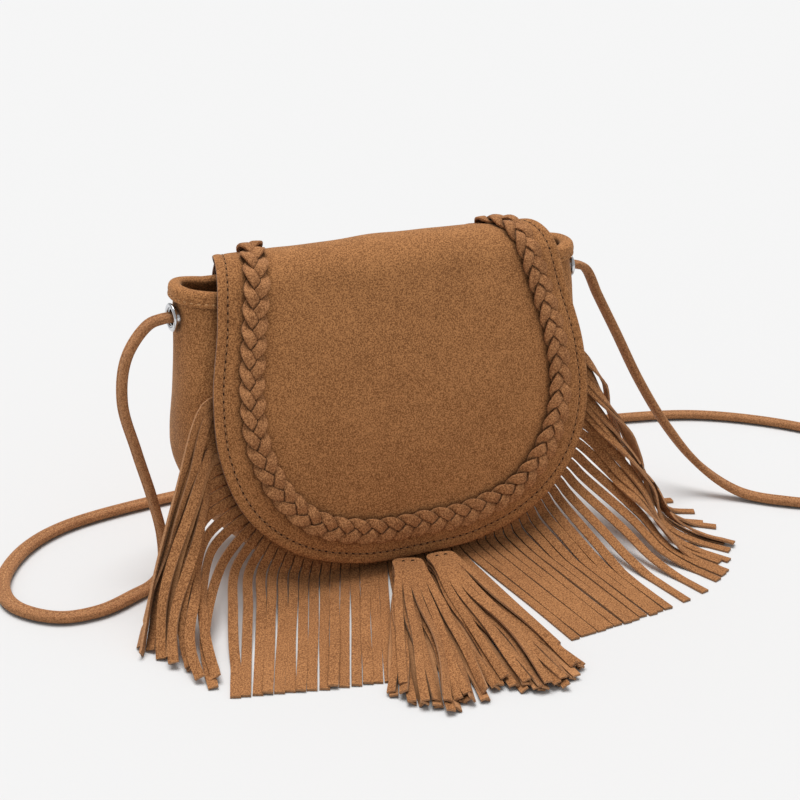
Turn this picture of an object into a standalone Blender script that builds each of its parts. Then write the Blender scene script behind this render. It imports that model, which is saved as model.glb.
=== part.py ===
# Fringed suede crossbody bag, standing on its base.
# Millimetres in this file, metres in the scene. X runs along the front of the bag, left to right.
# Y runs from the front (minus) to the back, Z is up, and the floor is z = 0.
import bmesh
import bpy
import math
import numpy as np

# Leather
SUEDE = 1.4
LINING_CLOTH = 0.9
FLAP_SUEDE = 1.2
FLAP_LINING = 0.9
GAP = 0.35
SEAM_GAP = 0.55
BINDING_GAP = 0.5

# Body: two panels joined by one gusset that runs down one side, under the base and up the other
RIM_Z = 145.0
RIM_HALF_WIDTH = 92.0
SEAM_HALF_WIDTH = 96.0
SEAM_CORNER_RADIUS = 58.0
SEAM_BOTTOM_Z = 7.0
RIM_RISE_AT_ENDS = 2.5
GUSSET_BULGE_TOP = 19.0
GUSSET_BULGE_SIDE = 20.0
GUSSET_BULGE_BASE = 7.5
BACK_PROFILE = ((7.0, 38.5), (20.0, 40.5), (60.0, 40.5), (100.0, 37.4), (124.0, 35.2), (134.0, 34.9), (145.0, 32.7))

# Flap: folds over the mouth, leans forward and ends just above the floor
FOLD_Y = 18.4
FOLD_Z = 141.4
FOLD_RADIUS = 19.7
FLAP_LEAN = math.radians(21.1)
FLAP_LEAN_CHANGE = -0.0015
FLAP_TAIL = 17.0
FLAP_CENTRE_S = 75.0
FLAP_RADII = ((0, 95.3), (22, 100.4), (42, 107.7), (58, 110.8), (74, 108.8), (90, 105.1), (108, 104.0), (124, 113.1), (138, 126.6))
FLAP_TAIL_HALF_WIDTH = 85.0
BODY_BEHIND_FLAP_TOP = 5.5
BODY_BEHIND_FLAP_BOTTOM = 9.5

# Braid
BRAID_RADII = ((0, 77.7), (22, 82.5), (42, 89.4), (58, 90.4), (74, 89.2), (90, 86.4), (108, 86.4), (124, 92.6), (138, 104.9))
BRAID_OVER_FOLD = ((66.5, -14.0), (61.5, -25.0), (58.6, -33.0), (57.8, -38.0))
BRAID_PERIOD = 29.0
BRAID_SWING = 3.8
BRAID_LIFT = 1.75
STRAND_WIDTH = 4.0
STRAND_THICKNESS = 1.4

# Fringe
STRIP_PITCH = 5.3
STRIP_WIDTH = 4.8
STRIP_THICKNESS = 1.1
STRIP_COUNT = 62
HEADER_WIDTH = 8.0
# Where the strips end on the floor, as (strip number, x, y)
FRINGE_ENDS = (
    (0, -151, -30), (2, -154, -48), (4, -155, -65), (6, -153, -83), (8, -145, -103), (10, -132, -115), (14, -110, -125),
    (21, -67, -130), (31, -7, -132), (37, 29, -133), (41, 54, -133), (46, 84, -129), (50, 109, -125), (52, 123, -120),
    (54, 139, -109), (56, 153, -93), (58, 165, -76), (60, 167, -52), (61, 167, -28),
)

# Mouth binding
BINDING_LEG = 4.5
BINDING_WALL = 1.0

# Strap and eyelets
STRAP_DIAMETER = 7.5
EYELET_Z = 133.5
EYELET_Y = 17.6
EYELET_OUTER = 14.0
EYELET_BORE = 8.2
EYELET_WALL = 0.6
STRAP_ROUTE = (
    (-117, 17.6, 133.5), (-125, 17.5, 131.5), (-137, 16, 117), (-141, 13, 95), (-136, 9, 70), (-130, 5, 45), (-126, 2, 22),
    (-127, -1, 8), (-133, -5, 4.0), (-146, -12, 3.9), (-166, -20, 3.9), (-186, -18, 3.9), (-202, 0, 3.9), (-202, 24, 3.9),
    (-184, 54, 3.9), (-157, 73, 3.9), (-102, 84, 3.9), (-40, 86, 3.9), (30, 86, 3.9), (100, 86, 3.9), (160, 86, 3.9),
    (197, 82, 3.9), (254, 65, 3.9), (301, 24, 3.9), (321, -20, 3.9), (312, -58, 3.9), (280, -76, 3.9), (248, -72, 3.9),
    (224, -58, 3.9), (204, -40, 5.5), (186, -22, 18), (172, -8, 38), (158, 3, 64), (145, 11, 92), (134, 16, 114),
    (125, 17.5, 130.5), (117, 17.6, 133.5),
)
STRAP_END_X = 106.4
KNOT_SIZE = 12.0

# Tassels
TASSEL_HEADS = ((-11.5, -42.5, -51.0, -164.0, 46.0), (8.5, -43.5, 4.0, -168.0, 36.0))
TASSEL_HEAD_WIDTH = 16.0
TASSEL_HEAD_HEIGHT = 8.0
TASSEL_HEAD_LENGTH = 15.0
TASSEL_STRIPS = 12
TASSEL_STRIP_WIDTH = 4.4
TASSEL_STRIP_THICKNESS = 0.85
LACE_DIAMETER = 1.8
LOOP_WIDTH = 8.0
LOOP_Z = (26.0, 44.0)
LOOP_LEATHER = 1.0

MM = 0.001


def colour(name, rgb, roughness=0.9, metallic=0.0):
    material = bpy.data.materials.new(name)
    material.use_nodes = True
    shader = material.node_tree.nodes["Principled BSDF"]
    shader.inputs["Base Color"].default_value = (*rgb, 1.0)
    shader.inputs["Roughness"].default_value = roughness
    shader.inputs["Metallic"].default_value = metallic
    return material


for leftover in list(bpy.data.objects):
    bpy.data.objects.remove(leftover)

suede = colour("suede", (0.36, 0.17, 0.06))
suede_back = colour("suede_back", (0.50, 0.25, 0.08))
lining_cloth = colour("lining_cloth", (0.09, 0.05, 0.03))
steel = colour("steel", (0.62, 0.62, 0.62), 0.25, 1.0)


def solid(name, points, faces, material):
    """One object from points in millimetres, turned so that its faces look outwards."""
    mesh = bpy.data.meshes.new(name)
    mesh.from_pydata([tuple(np.asarray(p, float) * MM) for p in points], [], [tuple(int(i) for i in f) for f in faces])
    build = bmesh.new()
    build.from_mesh(mesh)
    if build.calc_volume(signed=True) < 0:
        bmesh.ops.reverse_faces(build, faces=build.faces)
    build.to_mesh(mesh)
    build.free()
    mesh.shade_smooth()
    mesh.set_sharp_from_angle(angle=math.radians(40))
    mesh.materials.append(material)
    made = bpy.data.objects.new(name, mesh)
    bpy.context.scene.collection.objects.link(made)
    return made


def slab(name, upper, lower, material):
    """A sheet with thickness: two grids of the same shape, joined round their borders."""
    upper = np.asarray(upper, float)
    lower = np.asarray(lower, float)
    rows, columns = upper.shape[:2]
    points = np.concatenate([upper.reshape(-1, 3), lower.reshape(-1, 3)])
    under = rows * columns
    faces = []
    for r in range(rows - 1):
        for c in range(columns - 1):
            a = r * columns + c
            quad = (a, a + 1, a + columns + 1, a + columns)
            faces.append(quad)
            faces.append(tuple(under + i for i in reversed(quad)))
    border = [c for c in range(columns)]
    border += [r * columns + columns - 1 for r in range(1, rows)]
    border += [(rows - 1) * columns + c for c in range(columns - 2, -1, -1)]
    border += [r * columns for r in range(rows - 2, 0, -1)]
    for a, b in zip(border, border[1:] + border[:1]):
        faces.append((b, a, under + a, under + b))
    return solid(name, points, faces, material)


def swept(name, rings, material, closed=False):
    """A solid through rings of points, capped at both ends or joined into a loop."""
    rings = np.asarray(rings, float)
    count, sides = rings.shape[:2]
    faces = []
    for r in range(count if closed else count - 1):
        for c in range(sides):
            d = (c + 1) % sides
            n = (r + 1) % count
            faces.append((r * sides + c, r * sides + d, n * sides + d, n * sides + c))
    if not closed:
        faces.append(tuple(range(sides - 1, -1, -1)))
        faces.append(tuple((count - 1) * sides + c for c in range(sides)))
    return solid(name, rings.reshape(-1, 3), faces, material)


def smooth(points, count, power=0.5):
    """Points along a smooth curve through the given ones, evenly spaced."""
    p = np.asarray(points, float)
    p = np.vstack([2 * p[0] - p[1], p, 2 * p[-1] - p[-2]])
    knots = np.concatenate([[0.0], np.cumsum(np.linalg.norm(np.diff(p, axis=0), axis=1) ** power)])
    found = []
    for i in range(1, len(p) - 2):
        t0, t1, t2, t3 = knots[i - 1 : i + 3]
        t = np.linspace(t1, t2, 24, endpoint=False)[:, None]
        a1 = (t1 - t) / (t1 - t0) * p[i - 1] + (t - t0) / (t1 - t0) * p[i]
        a2 = (t2 - t) / (t2 - t1) * p[i] + (t - t1) / (t2 - t1) * p[i + 1]
        a3 = (t3 - t) / (t3 - t2) * p[i + 1] + (t - t2) / (t3 - t2) * p[i + 2]
        b1 = (t2 - t) / (t2 - t0) * a1 + (t - t0) / (t2 - t0) * a2
        b2 = (t3 - t) / (t3 - t1) * a2 + (t - t1) / (t3 - t1) * a3
        found.append((t2 - t) / (t2 - t1) * b1 + (t - t1) / (t2 - t1) * b2)
    fine = np.vstack(found + [p[-2:-1]])
    return evenly(fine, count)


def evenly(points, count):
    points = np.asarray(points, float)
    length = np.concatenate([[0.0], np.cumsum(np.linalg.norm(np.diff(points, axis=0), axis=1))])
    at = np.linspace(0.0, length[-1], count)
    return np.stack([np.interp(at, length, points[:, k]) for k in range(points.shape[1])], axis=1)


def by_bend(points, count):
    """The curve's points picked so that they lie closer together where it bends."""
    step = np.linalg.norm(np.diff(points, axis=0), axis=1)
    way = np.diff(points, axis=0) / step[:, None]
    turn = np.zeros(len(points))
    turn[1:-1] = np.linalg.norm(np.diff(way, axis=0), axis=1) / step[1:]
    turn = np.convolve(turn, np.ones(41) / 41, mode="same")
    weight = np.sqrt(turn) + 0.06
    gone = np.concatenate([[0.0], np.cumsum(step * (weight[1:] + weight[:-1]) / 2)])
    at = np.interp(np.linspace(0, gone[-1], count), gone, np.arange(len(points)))
    return np.stack([np.interp(at, np.arange(len(points)), points[:, k]) for k in range(3)], axis=1)


def unit(v):
    v = np.asarray(v, float)
    return v / np.maximum(np.linalg.norm(v, axis=-1, keepdims=True), 1e-9)


# The flap's section, measured along its outer face from the top of the fold: plus is down the front
FOLD_FRONT = FOLD_RADIUS * (math.pi / 2 - FLAP_LEAN)
FOLD_BACK = -FOLD_RADIUS * math.pi / 2
FLAP_FRONT_END = FLAP_CENTRE_S + FLAP_RADII[0][1]


def flap_section(s, depth=0.0):
    """(y, z) at s along the flap and at a depth under its outer face."""
    if s < FOLD_BACK:
        return FOLD_Y + FOLD_RADIUS - depth, FOLD_Z - (FOLD_BACK - s)
    if s < FOLD_FRONT:
        turn = s / FOLD_RADIUS
        return FOLD_Y - (FOLD_RADIUS - depth) * math.sin(turn), FOLD_Z + (FOLD_RADIUS - depth) * math.cos(turn)
    run = s - FOLD_FRONT
    lean = FLAP_LEAN + FLAP_LEAN_CHANGE * run
    y = FOLD_Y - FOLD_RADIUS * math.cos(FLAP_LEAN) - (math.cos(FLAP_LEAN) - math.cos(lean)) / FLAP_LEAN_CHANGE
    z = FOLD_Z + FOLD_RADIUS * math.sin(FLAP_LEAN) - (math.sin(lean) - math.sin(FLAP_LEAN)) / FLAP_LEAN_CHANGE
    return y + depth * math.cos(lean), z - depth * math.sin(lean)


def flap_outwards(s):
    """The way the flap's outer face looks at s, as (y, z)."""
    near = np.array(flap_section(s, 0.0))
    return unit(near - np.array(flap_section(s, 1.0)))


def radius_at(radii, angle):
    """A smooth radius through the listed (angle, radius) pairs, level at angle 0."""
    known = np.array([(-a, r) for a, r in radii[:0:-1]] + list(radii), float)
    grid = smooth(known, 600)
    return float(np.interp(abs(angle), grid[:, 0], grid[:, 1]))


def round_flap(radii, angles):
    """(x, s) points of a line round the flap, from its centre."""
    found = []
    for angle in angles:
        r = radius_at(radii, angle)
        found.append((r * math.sin(math.radians(angle)), FLAP_CENTRE_S + r * math.cos(math.radians(angle))))
    return np.array(found)


flap_edge = round_flap(FLAP_RADII, np.linspace(138, 5, 52))
flap_edge = np.vstack([[(FLAP_TAIL_HALF_WIDTH, FOLD_BACK - FLAP_TAIL)], flap_edge])


def flap_half_width(s):
    order = np.argsort(flap_edge[:, 1])
    return float(np.interp(s, flap_edge[order, 1], flap_edge[order, 0]))


def flap_layer(name, depth, thickness, inset, material):
    tail = FOLD_BACK - FLAP_TAIL + inset
    fold = [tail] + list(np.linspace(FOLD_BACK, FOLD_FRONT, 17))
    front = list(np.linspace(FOLD_FRONT, 120, 12)[1:])
    foot = [s for s in flap_edge[:, 1] if s > 124]
    upper = []
    lower = []
    for s in fold + front + foot:
        half = flap_half_width(s) - inset
        s = s - inset if s > 124 else s
        y0, z0 = flap_section(s, depth)
        y1, z1 = flap_section(s, depth + thickness)
        upper.append([(-half, y0, z0), (0.0, y0, z0), (half, y0, z0)])
        lower.append([(-half, y1, z1), (0.0, y1, z1), (half, y1, z1)])
    return slab(name, upper, lower, material)


flap_layer("flap", 0.0, FLAP_SUEDE, 0.0, suede)
flap_layer("flap_lining", FLAP_SUEDE + GAP, FLAP_LINING, 0.6, lining_cloth)

# The body follows the flap's section from inside
behind = []
for s in np.linspace(FOLD_FRONT - 8, FLAP_FRONT_END + 8, 80):
    share = np.clip((s - FOLD_FRONT) / 70, 0, 1)
    depth = BODY_BEHIND_FLAP_TOP + share * (BODY_BEHIND_FLAP_BOTTOM - BODY_BEHIND_FLAP_TOP)
    behind.append(flap_section(s, depth))
behind = np.array(behind)[::-1]
back_curve = smooth(BACK_PROFILE, 80)


def front_y(z):
    return float(np.interp(z, behind[:, 1], behind[:, 0]))


def back_y(z):
    return float(np.interp(z, back_curve[:, 0], back_curve[:, 1]))


def seam_half_width(z):
    corner = SEAM_BOTTOM_Z + SEAM_CORNER_RADIUS
    if z >= corner:
        share = (z - corner) / (RIM_Z - corner)
        return SEAM_HALF_WIDTH - (SEAM_HALF_WIDTH - RIM_HALF_WIDTH) * share * share
    drop = corner - max(z, SEAM_BOTTOM_Z)
    return SEAM_HALF_WIDTH - SEAM_CORNER_RADIUS + math.sqrt(max(SEAM_CORNER_RADIUS**2 - drop**2, 0.0))


# The seam line between panel and gusset, seen from the front: down the left side, along the base, up the right
side = [(-seam_half_width(z), z) for z in np.linspace(RIM_Z, SEAM_BOTTOM_Z + SEAM_CORNER_RADIUS, 30)]
turn = np.linspace(0, 90, 30)[1:]
corner_x = SEAM_HALF_WIDTH - SEAM_CORNER_RADIUS
corner_z = SEAM_BOTTOM_Z + SEAM_CORNER_RADIUS
bend = [(-corner_x - SEAM_CORNER_RADIUS * math.cos(math.radians(a)), corner_z - SEAM_CORNER_RADIUS * math.sin(math.radians(a))) for a in turn]
left_half = side + bend + [(-corner_x / 2, SEAM_BOTTOM_Z)]
seam_line = np.array(left_half + [(0.0, SEAM_BOTTOM_Z)] + [(-x, z) for x, z in left_half[::-1]])


def seam_points(count):
    """Evenly spaced (x, z) points of the seam with the way outwards at each."""
    line = evenly(seam_line, count)
    along = unit(np.gradient(line, axis=0))
    outwards = np.stack([along[:, 1], -along[:, 0]], axis=1)
    middle = np.array([0.0, 80.0])
    flip = np.sign(((line - middle) * outwards).sum(axis=1))
    return line, outwards * flip[:, None]


def bulge_at(z, outwards):
    down = np.clip(-outwards[1], 0, 1)
    share = np.clip((z - corner_z) / (RIM_Z - corner_z), 0, 1)
    beside = GUSSET_BULGE_SIDE + share * (GUSSET_BULGE_TOP - GUSSET_BULGE_SIDE)
    return GUSSET_BULGE_BASE + (beside - GUSSET_BULGE_BASE) * (1 - down) ** 0.8


def gusset_row(x, z, outwards, count):
    """Points from the front seam to the back seam at one place on the seam line."""
    down = float(np.clip(-outwards[1], 0, 1))
    power = 3.0 + down
    bulge = bulge_at(z, outwards)
    y0 = front_y(z)
    y1 = back_y(z)
    row = []
    for k in range(count):
        angle = math.pi * k / (count - 1)
        rise = max(math.sin(angle), 0.0) ** (2 / power)
        y = (y0 + y1) / 2 - (y1 - y0) / 2 * math.cos(angle)
        lift = RIM_RISE_AT_ENDS * rise * np.clip((z - 120) / (RIM_Z - 120), 0, 1)
        row.append((x + outwards[0] * bulge * rise, y, max(z + outwards[1] * bulge * rise + lift, 0.0)))
    return row


GUSSET_ROWS = 48
GUSSET_COLUMNS = 13
line, outwards = seam_points(GUSSET_ROWS)
outwards[0] = (-1.0, 0.0)
outwards[-1] = (1.0, 0.0)
gusset_outer = np.array([gusset_row(x, z, o, GUSSET_COLUMNS) for (x, z), o in zip(line, outwards)])
along = np.gradient(gusset_outer, axis=0)
across = np.gradient(gusset_outer, axis=1)
facing = unit(np.cross(along, across))
inward_to = np.array([0.0, 10.0, 75.0]) - gusset_outer
facing = facing * np.sign((facing * inward_to).sum(axis=2))[:, :, None]
facing[:, 0] = (0.0, 1.0, 0.0)
facing[:, -1] = (0.0, -1.0, 0.0)
facing[0, :, 2] = 0.0
facing[-1, :, 2] = 0.0
facing = unit(facing)
gusset = slab("gusset", gusset_outer, gusset_outer + facing * SUEDE, suede)


def panel(name, y_at, inwards, material):
    """A U-shaped panel that stands just inside the gusset's seam."""
    corner = [corner_z - SEAM_CORNER_RADIUS * math.sin(math.radians(a)) for a in np.linspace(0, 90, 22)]
    levels = list(np.linspace(RIM_Z, corner_z, 14)[:-1]) + corner
    outer = []
    inner = []
    for z in levels:
        half = seam_half_width(z) - SEAM_GAP
        if z < corner_z:
            reach = SEAM_CORNER_RADIUS - SEAM_GAP
            drop = (corner_z - z) * reach / SEAM_CORNER_RADIUS
            half = corner_x + math.sqrt(max(reach**2 - drop**2, 0.0))
            z = corner_z - drop
        y = y_at(z)
        row = [(-half, y, z), (0.0, y, z), (half, y, z)]
        outer.append(row)
        inner.append([(x, y + inwards * SUEDE, z) for x, y, z in row])
    return slab(name, outer, inner, material)


panel("front_panel", front_y, 1.0, suede)
panel("back_panel", back_y, -1.0, suede)


def middle_half_width(z):
    """The body's greatest half width at a height, halfway between front and back."""
    middle = gusset_outer[: GUSSET_ROWS // 2, GUSSET_COLUMNS // 2]
    order = np.argsort(middle[:, 2])
    return float(np.interp(z, middle[order, 2], -middle[order, 0]))


def body_loop(z, inset, sides, ends, drop=0.0):
    """The body's outline in plan at a height, moved in by the inset."""
    low = max(z - drop, 0.0)
    half = seam_half_width(low)
    wide = max(middle_half_width(min(low, RIM_Z)), half + 1.0)
    y0 = front_y(z) + inset
    y1 = back_y(z) - inset
    loop = [(x, y0) for x in np.linspace(-half, half, sides)]
    for k in range(1, ends):
        angle = math.pi * k / ends
        rise = math.sin(angle) ** (2 / 3)
        loop.append((half + (wide - half - inset) * rise, (y0 + y1) / 2 - (y1 - y0) / 2 * math.cos(angle)))
    loop += [(x, y1) for x in np.linspace(half, -half, sides)]
    for k in range(1, ends):
        angle = math.pi * k / ends
        rise = math.sin(angle) ** (2 / 3)
        loop.append((-half - (wide - half - inset) * rise, (y0 + y1) / 2 + (y1 - y0) / 2 * math.cos(angle)))
    return np.array(loop)


def rim_lift(x):
    return RIM_RISE_AT_ENDS * np.clip((abs(x) - RIM_HALF_WIDTH) / GUSSET_BULGE_TOP, 0, 1)


# Lining: one loose cloth bag inside the panels
lining_levels = (4.5, 8.0, 14.0, 22.0, 34.0, 48.0, 66.0, 88.0, 112.0, 127.0, 139.0, RIM_Z)
rings_out = []
rings_in = []
for z in lining_levels:
    loose = 1.6 * np.clip((139 - z) / 20, 0, 1)
    outer = body_loop(z, SUEDE + GAP + 0.1 + loose, 6, 12, 4.0 * np.clip((112 - z) / 40, 0, 1))
    inner = body_loop(z, SUEDE + GAP + 0.1 + loose + LINING_CLOTH, 6, 12, 4.0 * np.clip((112 - z) / 40, 0, 1))
    floor_lift = LINING_CLOTH if z == lining_levels[0] else 0.0
    lift = rim_lift(outer[:, 0]) if z == RIM_Z else 0.0 * outer[:, 0]
    rings_out.append(np.column_stack([outer, z + lift]))
    rings_in.append(np.column_stack([inner, z + lift + floor_lift]))
sides = len(rings_out[0])
points = np.concatenate(rings_out + rings_in)
faces = []
for r in range(len(lining_levels) - 1):
    for c in range(sides):
        d = (c + 1) % sides
        quad = (r * sides + c, r * sides + d, (r + 1) * sides + d, (r + 1) * sides + c)
        faces.append(quad)
        shift = len(lining_levels) * sides
        faces.append(tuple(shift + i for i in reversed(quad)))
top = (len(lining_levels) - 1) * sides
for c in range(sides):
    d = (c + 1) % sides
    faces.append((top + c, top + d, shift + top + d, shift + top + c))
faces.append(tuple(range(sides - 1, -1, -1)))
faces.append(tuple(shift + c for c in range(sides)))
lining = solid("lining", points, faces, lining_cloth)

# Mouth binding: a folded strip that hugs panel and lining round the whole mouth
rim = body_loop(RIM_Z, 0.0, 8, 12)
rim_points = np.column_stack([rim, RIM_Z + rim_lift(rim[:, 0])])
tangent = unit(np.roll(rim, -1, axis=0) - np.roll(rim, 1, axis=0))
rim_out = np.stack([tangent[:, 1], -tangent[:, 0]], axis=1)
hold = SUEDE + GAP + LINING_CLOTH + 1.5 * BINDING_GAP
outer_leg = BINDING_GAP + BINDING_WALL
inner_leg = hold + 0.8 * BINDING_WALL
binding_section = (
    (outer_leg, -BINDING_LEG), (outer_leg, 0.3), (outer_leg - 0.9, 1.7), ((outer_leg - inner_leg) / 2, 2.2),
    (0.9 - inner_leg, 1.7), (-inner_leg, 0.3), (-inner_leg, -BINDING_LEG), (-hold, -BINDING_LEG),
    (-hold, GAP), (BINDING_GAP, GAP), (BINDING_GAP, -BINDING_LEG),
)
below = body_loop(RIM_Z - BINDING_LEG, 0.0, 8, 12)
rings = []
for point, low, out in zip(rim_points, below, rim_out):
    spread = float((low - point[:2]) @ out) / BINDING_LEG
    rings.append([
        (point[0] + out[0] * (n - spread * min(up, 0)), point[1] + out[1] * (n - spread * min(up, 0)), point[2] + up)
        for n, up in binding_section
    ])
swept("mouth_binding", rings, suede, closed=True)

# Braid: three strands plaited along the inside of the flap's edge
braid_half = round_flap(BRAID_RADII, np.linspace(138, 0, 60))
braid_right = np.vstack([np.array(BRAID_OVER_FOLD[::-1]), braid_half])
braid_line = smooth(np.vstack([braid_right[:-1], (braid_right * (-1, 1))[::-1]])[::3], 900)
braid_length = float(np.linalg.norm(np.diff(braid_line, axis=0), axis=1).sum())
BRAID_STEPS = int(braid_length / BRAID_PERIOD * 10)
braid_centre = evenly(braid_line, BRAID_STEPS)
braid_side = unit(np.gradient(braid_centre, axis=0))
braid_side = np.stack([braid_side[:, 1], -braid_side[:, 0]], axis=1)
at = np.linspace(0, braid_length, BRAID_STEPS)


def on_flap(x, s, height):
    y, z = flap_section(s, -height)
    return np.array([x, y, z])


for number in range(3):
    phase = 2 * math.pi * (at / BRAID_PERIOD + number / 3)
    swing = BRAID_SWING * np.sin(phase)
    height = GAP + STRAND_THICKNESS / 2 + BRAID_LIFT * (1 + np.sin(2 * phase)) + 0.15
    track = braid_centre + braid_side * swing[:, None]
    centre = np.array([on_flap(x, s, h) for (x, s), h in zip(track, height)])
    forward = unit(np.gradient(centre, axis=0))
    rings = []
    for i in range(BRAID_STEPS):
        ny, nz = flap_outwards(track[i, 1])
        up = np.array([0.0, ny, nz])
        across = unit(np.cross(forward[i], up))
        up = unit(np.cross(across, forward[i]))
        ring = []
        for k in range(6):
            angle = math.radians(60 * k)
            ring.append(centre[i] + across * STRAND_WIDTH / 2 * math.cos(angle) + up * STRAND_THICKNESS / 2 * math.sin(angle) * 1.15)
        rings.append(ring)
    swept(f"braid_strand_{number + 1}", rings, suede)


def strip_grid(roots, ends, out_of_root, past_flap, stations):
    """Centre lines of hanging strips: out past the flap's edge, down to the floor and out to the end."""
    grid = []
    level = STRIP_THICKNESS / 2 + 0.1
    for root, end, out, past in zip(roots, ends, out_of_root, past_flap):
        away = end[:2] - root[:2]
        height = root[2]
        clear = root + out * past + np.array([0.0, -0.22 * past, -0.45 * past * abs(out[0])])
        clear[2] = max(clear[2], level)
        lands = np.clip(height / 55, 0.10, 0.86)
        tip = np.array([end[0], end[1], level])
        touch = np.array([*(clear[:2] * (1 - lands) + tip[:2] * lands), level])
        halfway = clear * 0.5 + touch * 0.5 - np.array([0, 0, 0.05 * clear[2]])
        control = [root, root * 0.55 + clear * 0.45 + np.array([0, -0.4, 0.10 * past * abs(out[0])]), clear]
        if height > 12:
            control.append(halfway)
        control += [touch, touch * 0.5 + tip * 0.5, tip]
        path = smooth(control, 80)
        path[:, 2] = np.maximum(path[:, 2], level)
        grid.append(evenly(path, stations))
    return np.array(grid)


def strip_frames(grid, facing_out, width, thickness, clear):
    """The way across each strip at each station. Crowded strips stand on edge and lean on the next one."""
    forward = unit(np.gradient(grid, axis=1))
    step = np.gradient(grid, axis=0)
    step = step - forward * (step * forward).sum(axis=2, keepdims=True)
    room = np.linalg.norm(step, axis=2)
    across = unit(step)
    up = np.cross(forward, across)
    flip = np.sign((up * facing_out).sum(axis=2))[:, :, None]
    up = up * np.where(flip == 0, 1, flip)
    cosine = np.clip((room - clear) / width, 0.12, 1.0)
    lean = np.arccos(cosine)
    lean[:, 0] = 0.0
    return forward, across, up, lean


# Fringe: one comb, its header on the front panel, its strips over the seam
fringe_line, fringe_out = seam_points(1201)
total = float(np.linalg.norm(np.diff(fringe_line, axis=0), axis=1).sum())
length_at = np.linspace(0, total, len(fringe_line))
first_root = total / 2 - STRIP_PITCH * STRIP_COUNT / 2


def seam_at(distance):
    return np.array([np.interp(distance, length_at, fringe_line[:, k]) for k in range(2)]), unit([
        np.interp(distance, length_at, fringe_out[:, k]) for k in range(2)
    ])


strip_middle = first_root + STRIP_PITCH * (np.arange(STRIP_COUNT) + 0.5)
ends = np.array(FRINGE_ENDS, float)
strip_ends = np.stack([np.interp(np.arange(STRIP_COUNT), ends[:, 0], ends[:, k]) for k in (1, 2)] + [np.zeros(STRIP_COUNT)], axis=1)
roots = []
leaving = []
for distance in strip_middle:
    (x, z), out = seam_at(distance)
    x = x - out[0] * 0.5
    z = z - out[1] * 0.5
    roots.append((x, front_y(z) - GAP - 0.1 - STRIP_THICKNESS / 2, z))
    leaving.append(np.array([out[0], 0.0, out[1]]))
roots = np.array(roots)
leaving = np.array(leaving)
past_flap = 4.5 + 8.0 * np.abs(leaving[:, 0]) ** 1.5
STATIONS = 9
strips = strip_grid(roots, strip_ends, leaving, past_flap, STATIONS)
look = np.zeros_like(strips)
look[:, :, 1] = -1.0
look[:, :, 2] = 1.0
look[:, :2, 2] = 0.0
forward, across, up, lean = strip_frames(strips, look, STRIP_WIDTH, STRIP_THICKNESS, 0.5)

points = []
faces = []
near_edge = []
for i, distance in enumerate(strip_middle):
    corners = []
    for shift in (-STRIP_WIDTH / 2, STRIP_WIDTH / 2):
        (x, z), out = seam_at(distance + shift)
        for inwards in (0.5, 0.5 + HEADER_WIDTH):
            px = x - out[0] * inwards
            pz = z - out[1] * inwards
            y = front_y(pz) - GAP - 0.1
            corners.append((px, y - STRIP_THICKNESS, pz))
            corners.append((px, y, pz))
    near_edge.append(len(points))
    points += corners
# Each root holds 8 points: first side (outer edge top, under, inner edge top, under), then the second side
for i, a in enumerate(near_edge):
    faces.append((a + 0, a + 2, a + 6, a + 4))
    faces.append((a + 1, a + 5, a + 7, a + 3))
    faces.append((a + 2, a + 3, a + 7, a + 6))
    if i == 0:
        faces.append((a + 0, a + 1, a + 3, a + 2))
    if i == len(near_edge) - 1:
        faces.append((a + 4, a + 6, a + 7, a + 5))
    if i < len(near_edge) - 1:
        b = near_edge[i + 1]
        faces.append((a + 4, a + 6, b + 2, b + 0))
        faces.append((a + 5, b + 1, b + 3, a + 7))
        faces.append((a + 6, a + 7, b + 3, b + 2))
        faces.append((a + 4, b + 0, b + 1, a + 5))
for i, a in enumerate(near_edge):
    last = (a + 0, a + 4, a + 5, a + 1)
    for k in range(1, STATIONS):
        centre = strips[i, k].copy()
        side_way = across[i, k] * math.cos(lean[i, k]) + up[i, k] * math.sin(lean[i, k])
        thick_way = unit(np.cross(forward[i, k], side_way))
        if (thick_way * look[i, k]).sum() < 0:
            thick_way = -thick_way
        half = side_way * STRIP_WIDTH / 2
        deep = thick_way * STRIP_THICKNESS / 2
        lowest = centre[2] - abs(half[2]) - abs(deep[2])
        centre[2] += max(0.1 - lowest, 0.0)
        start = len(points)
        points += [centre - half + deep, centre + half + deep, centre + half - deep, centre - half - deep]
        ring = (start, start + 1, start + 2, start + 3)
        for c in range(4):
            d = (c + 1) % 4
            faces.append((last[c], last[d], ring[d], ring[c]))
        last = ring
    faces.append(last)
fringe = solid("fringe_band", points, faces, suede)
fix = bmesh.new()
fix.from_mesh(fringe.data)
bmesh.ops.recalc_face_normals(fix, faces=fix.faces)
fix.to_mesh(fringe.data)
fix.free()

# Eyelets and washers, one pair at each end of the mouth
def turned(name, profile, centre, sign, material, sides=28):
    """A ring turned about an axis along X. The profile holds (distance out of the bag, radius)."""
    rings = []
    for k in range(sides):
        angle = 2 * math.pi * k / sides
        rings.append([(centre[0] + sign * out, centre[1] + r * math.cos(angle), centre[2] + r * math.sin(angle)) for out, r in profile])
    return swept(name, rings, material, closed=True)


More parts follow.
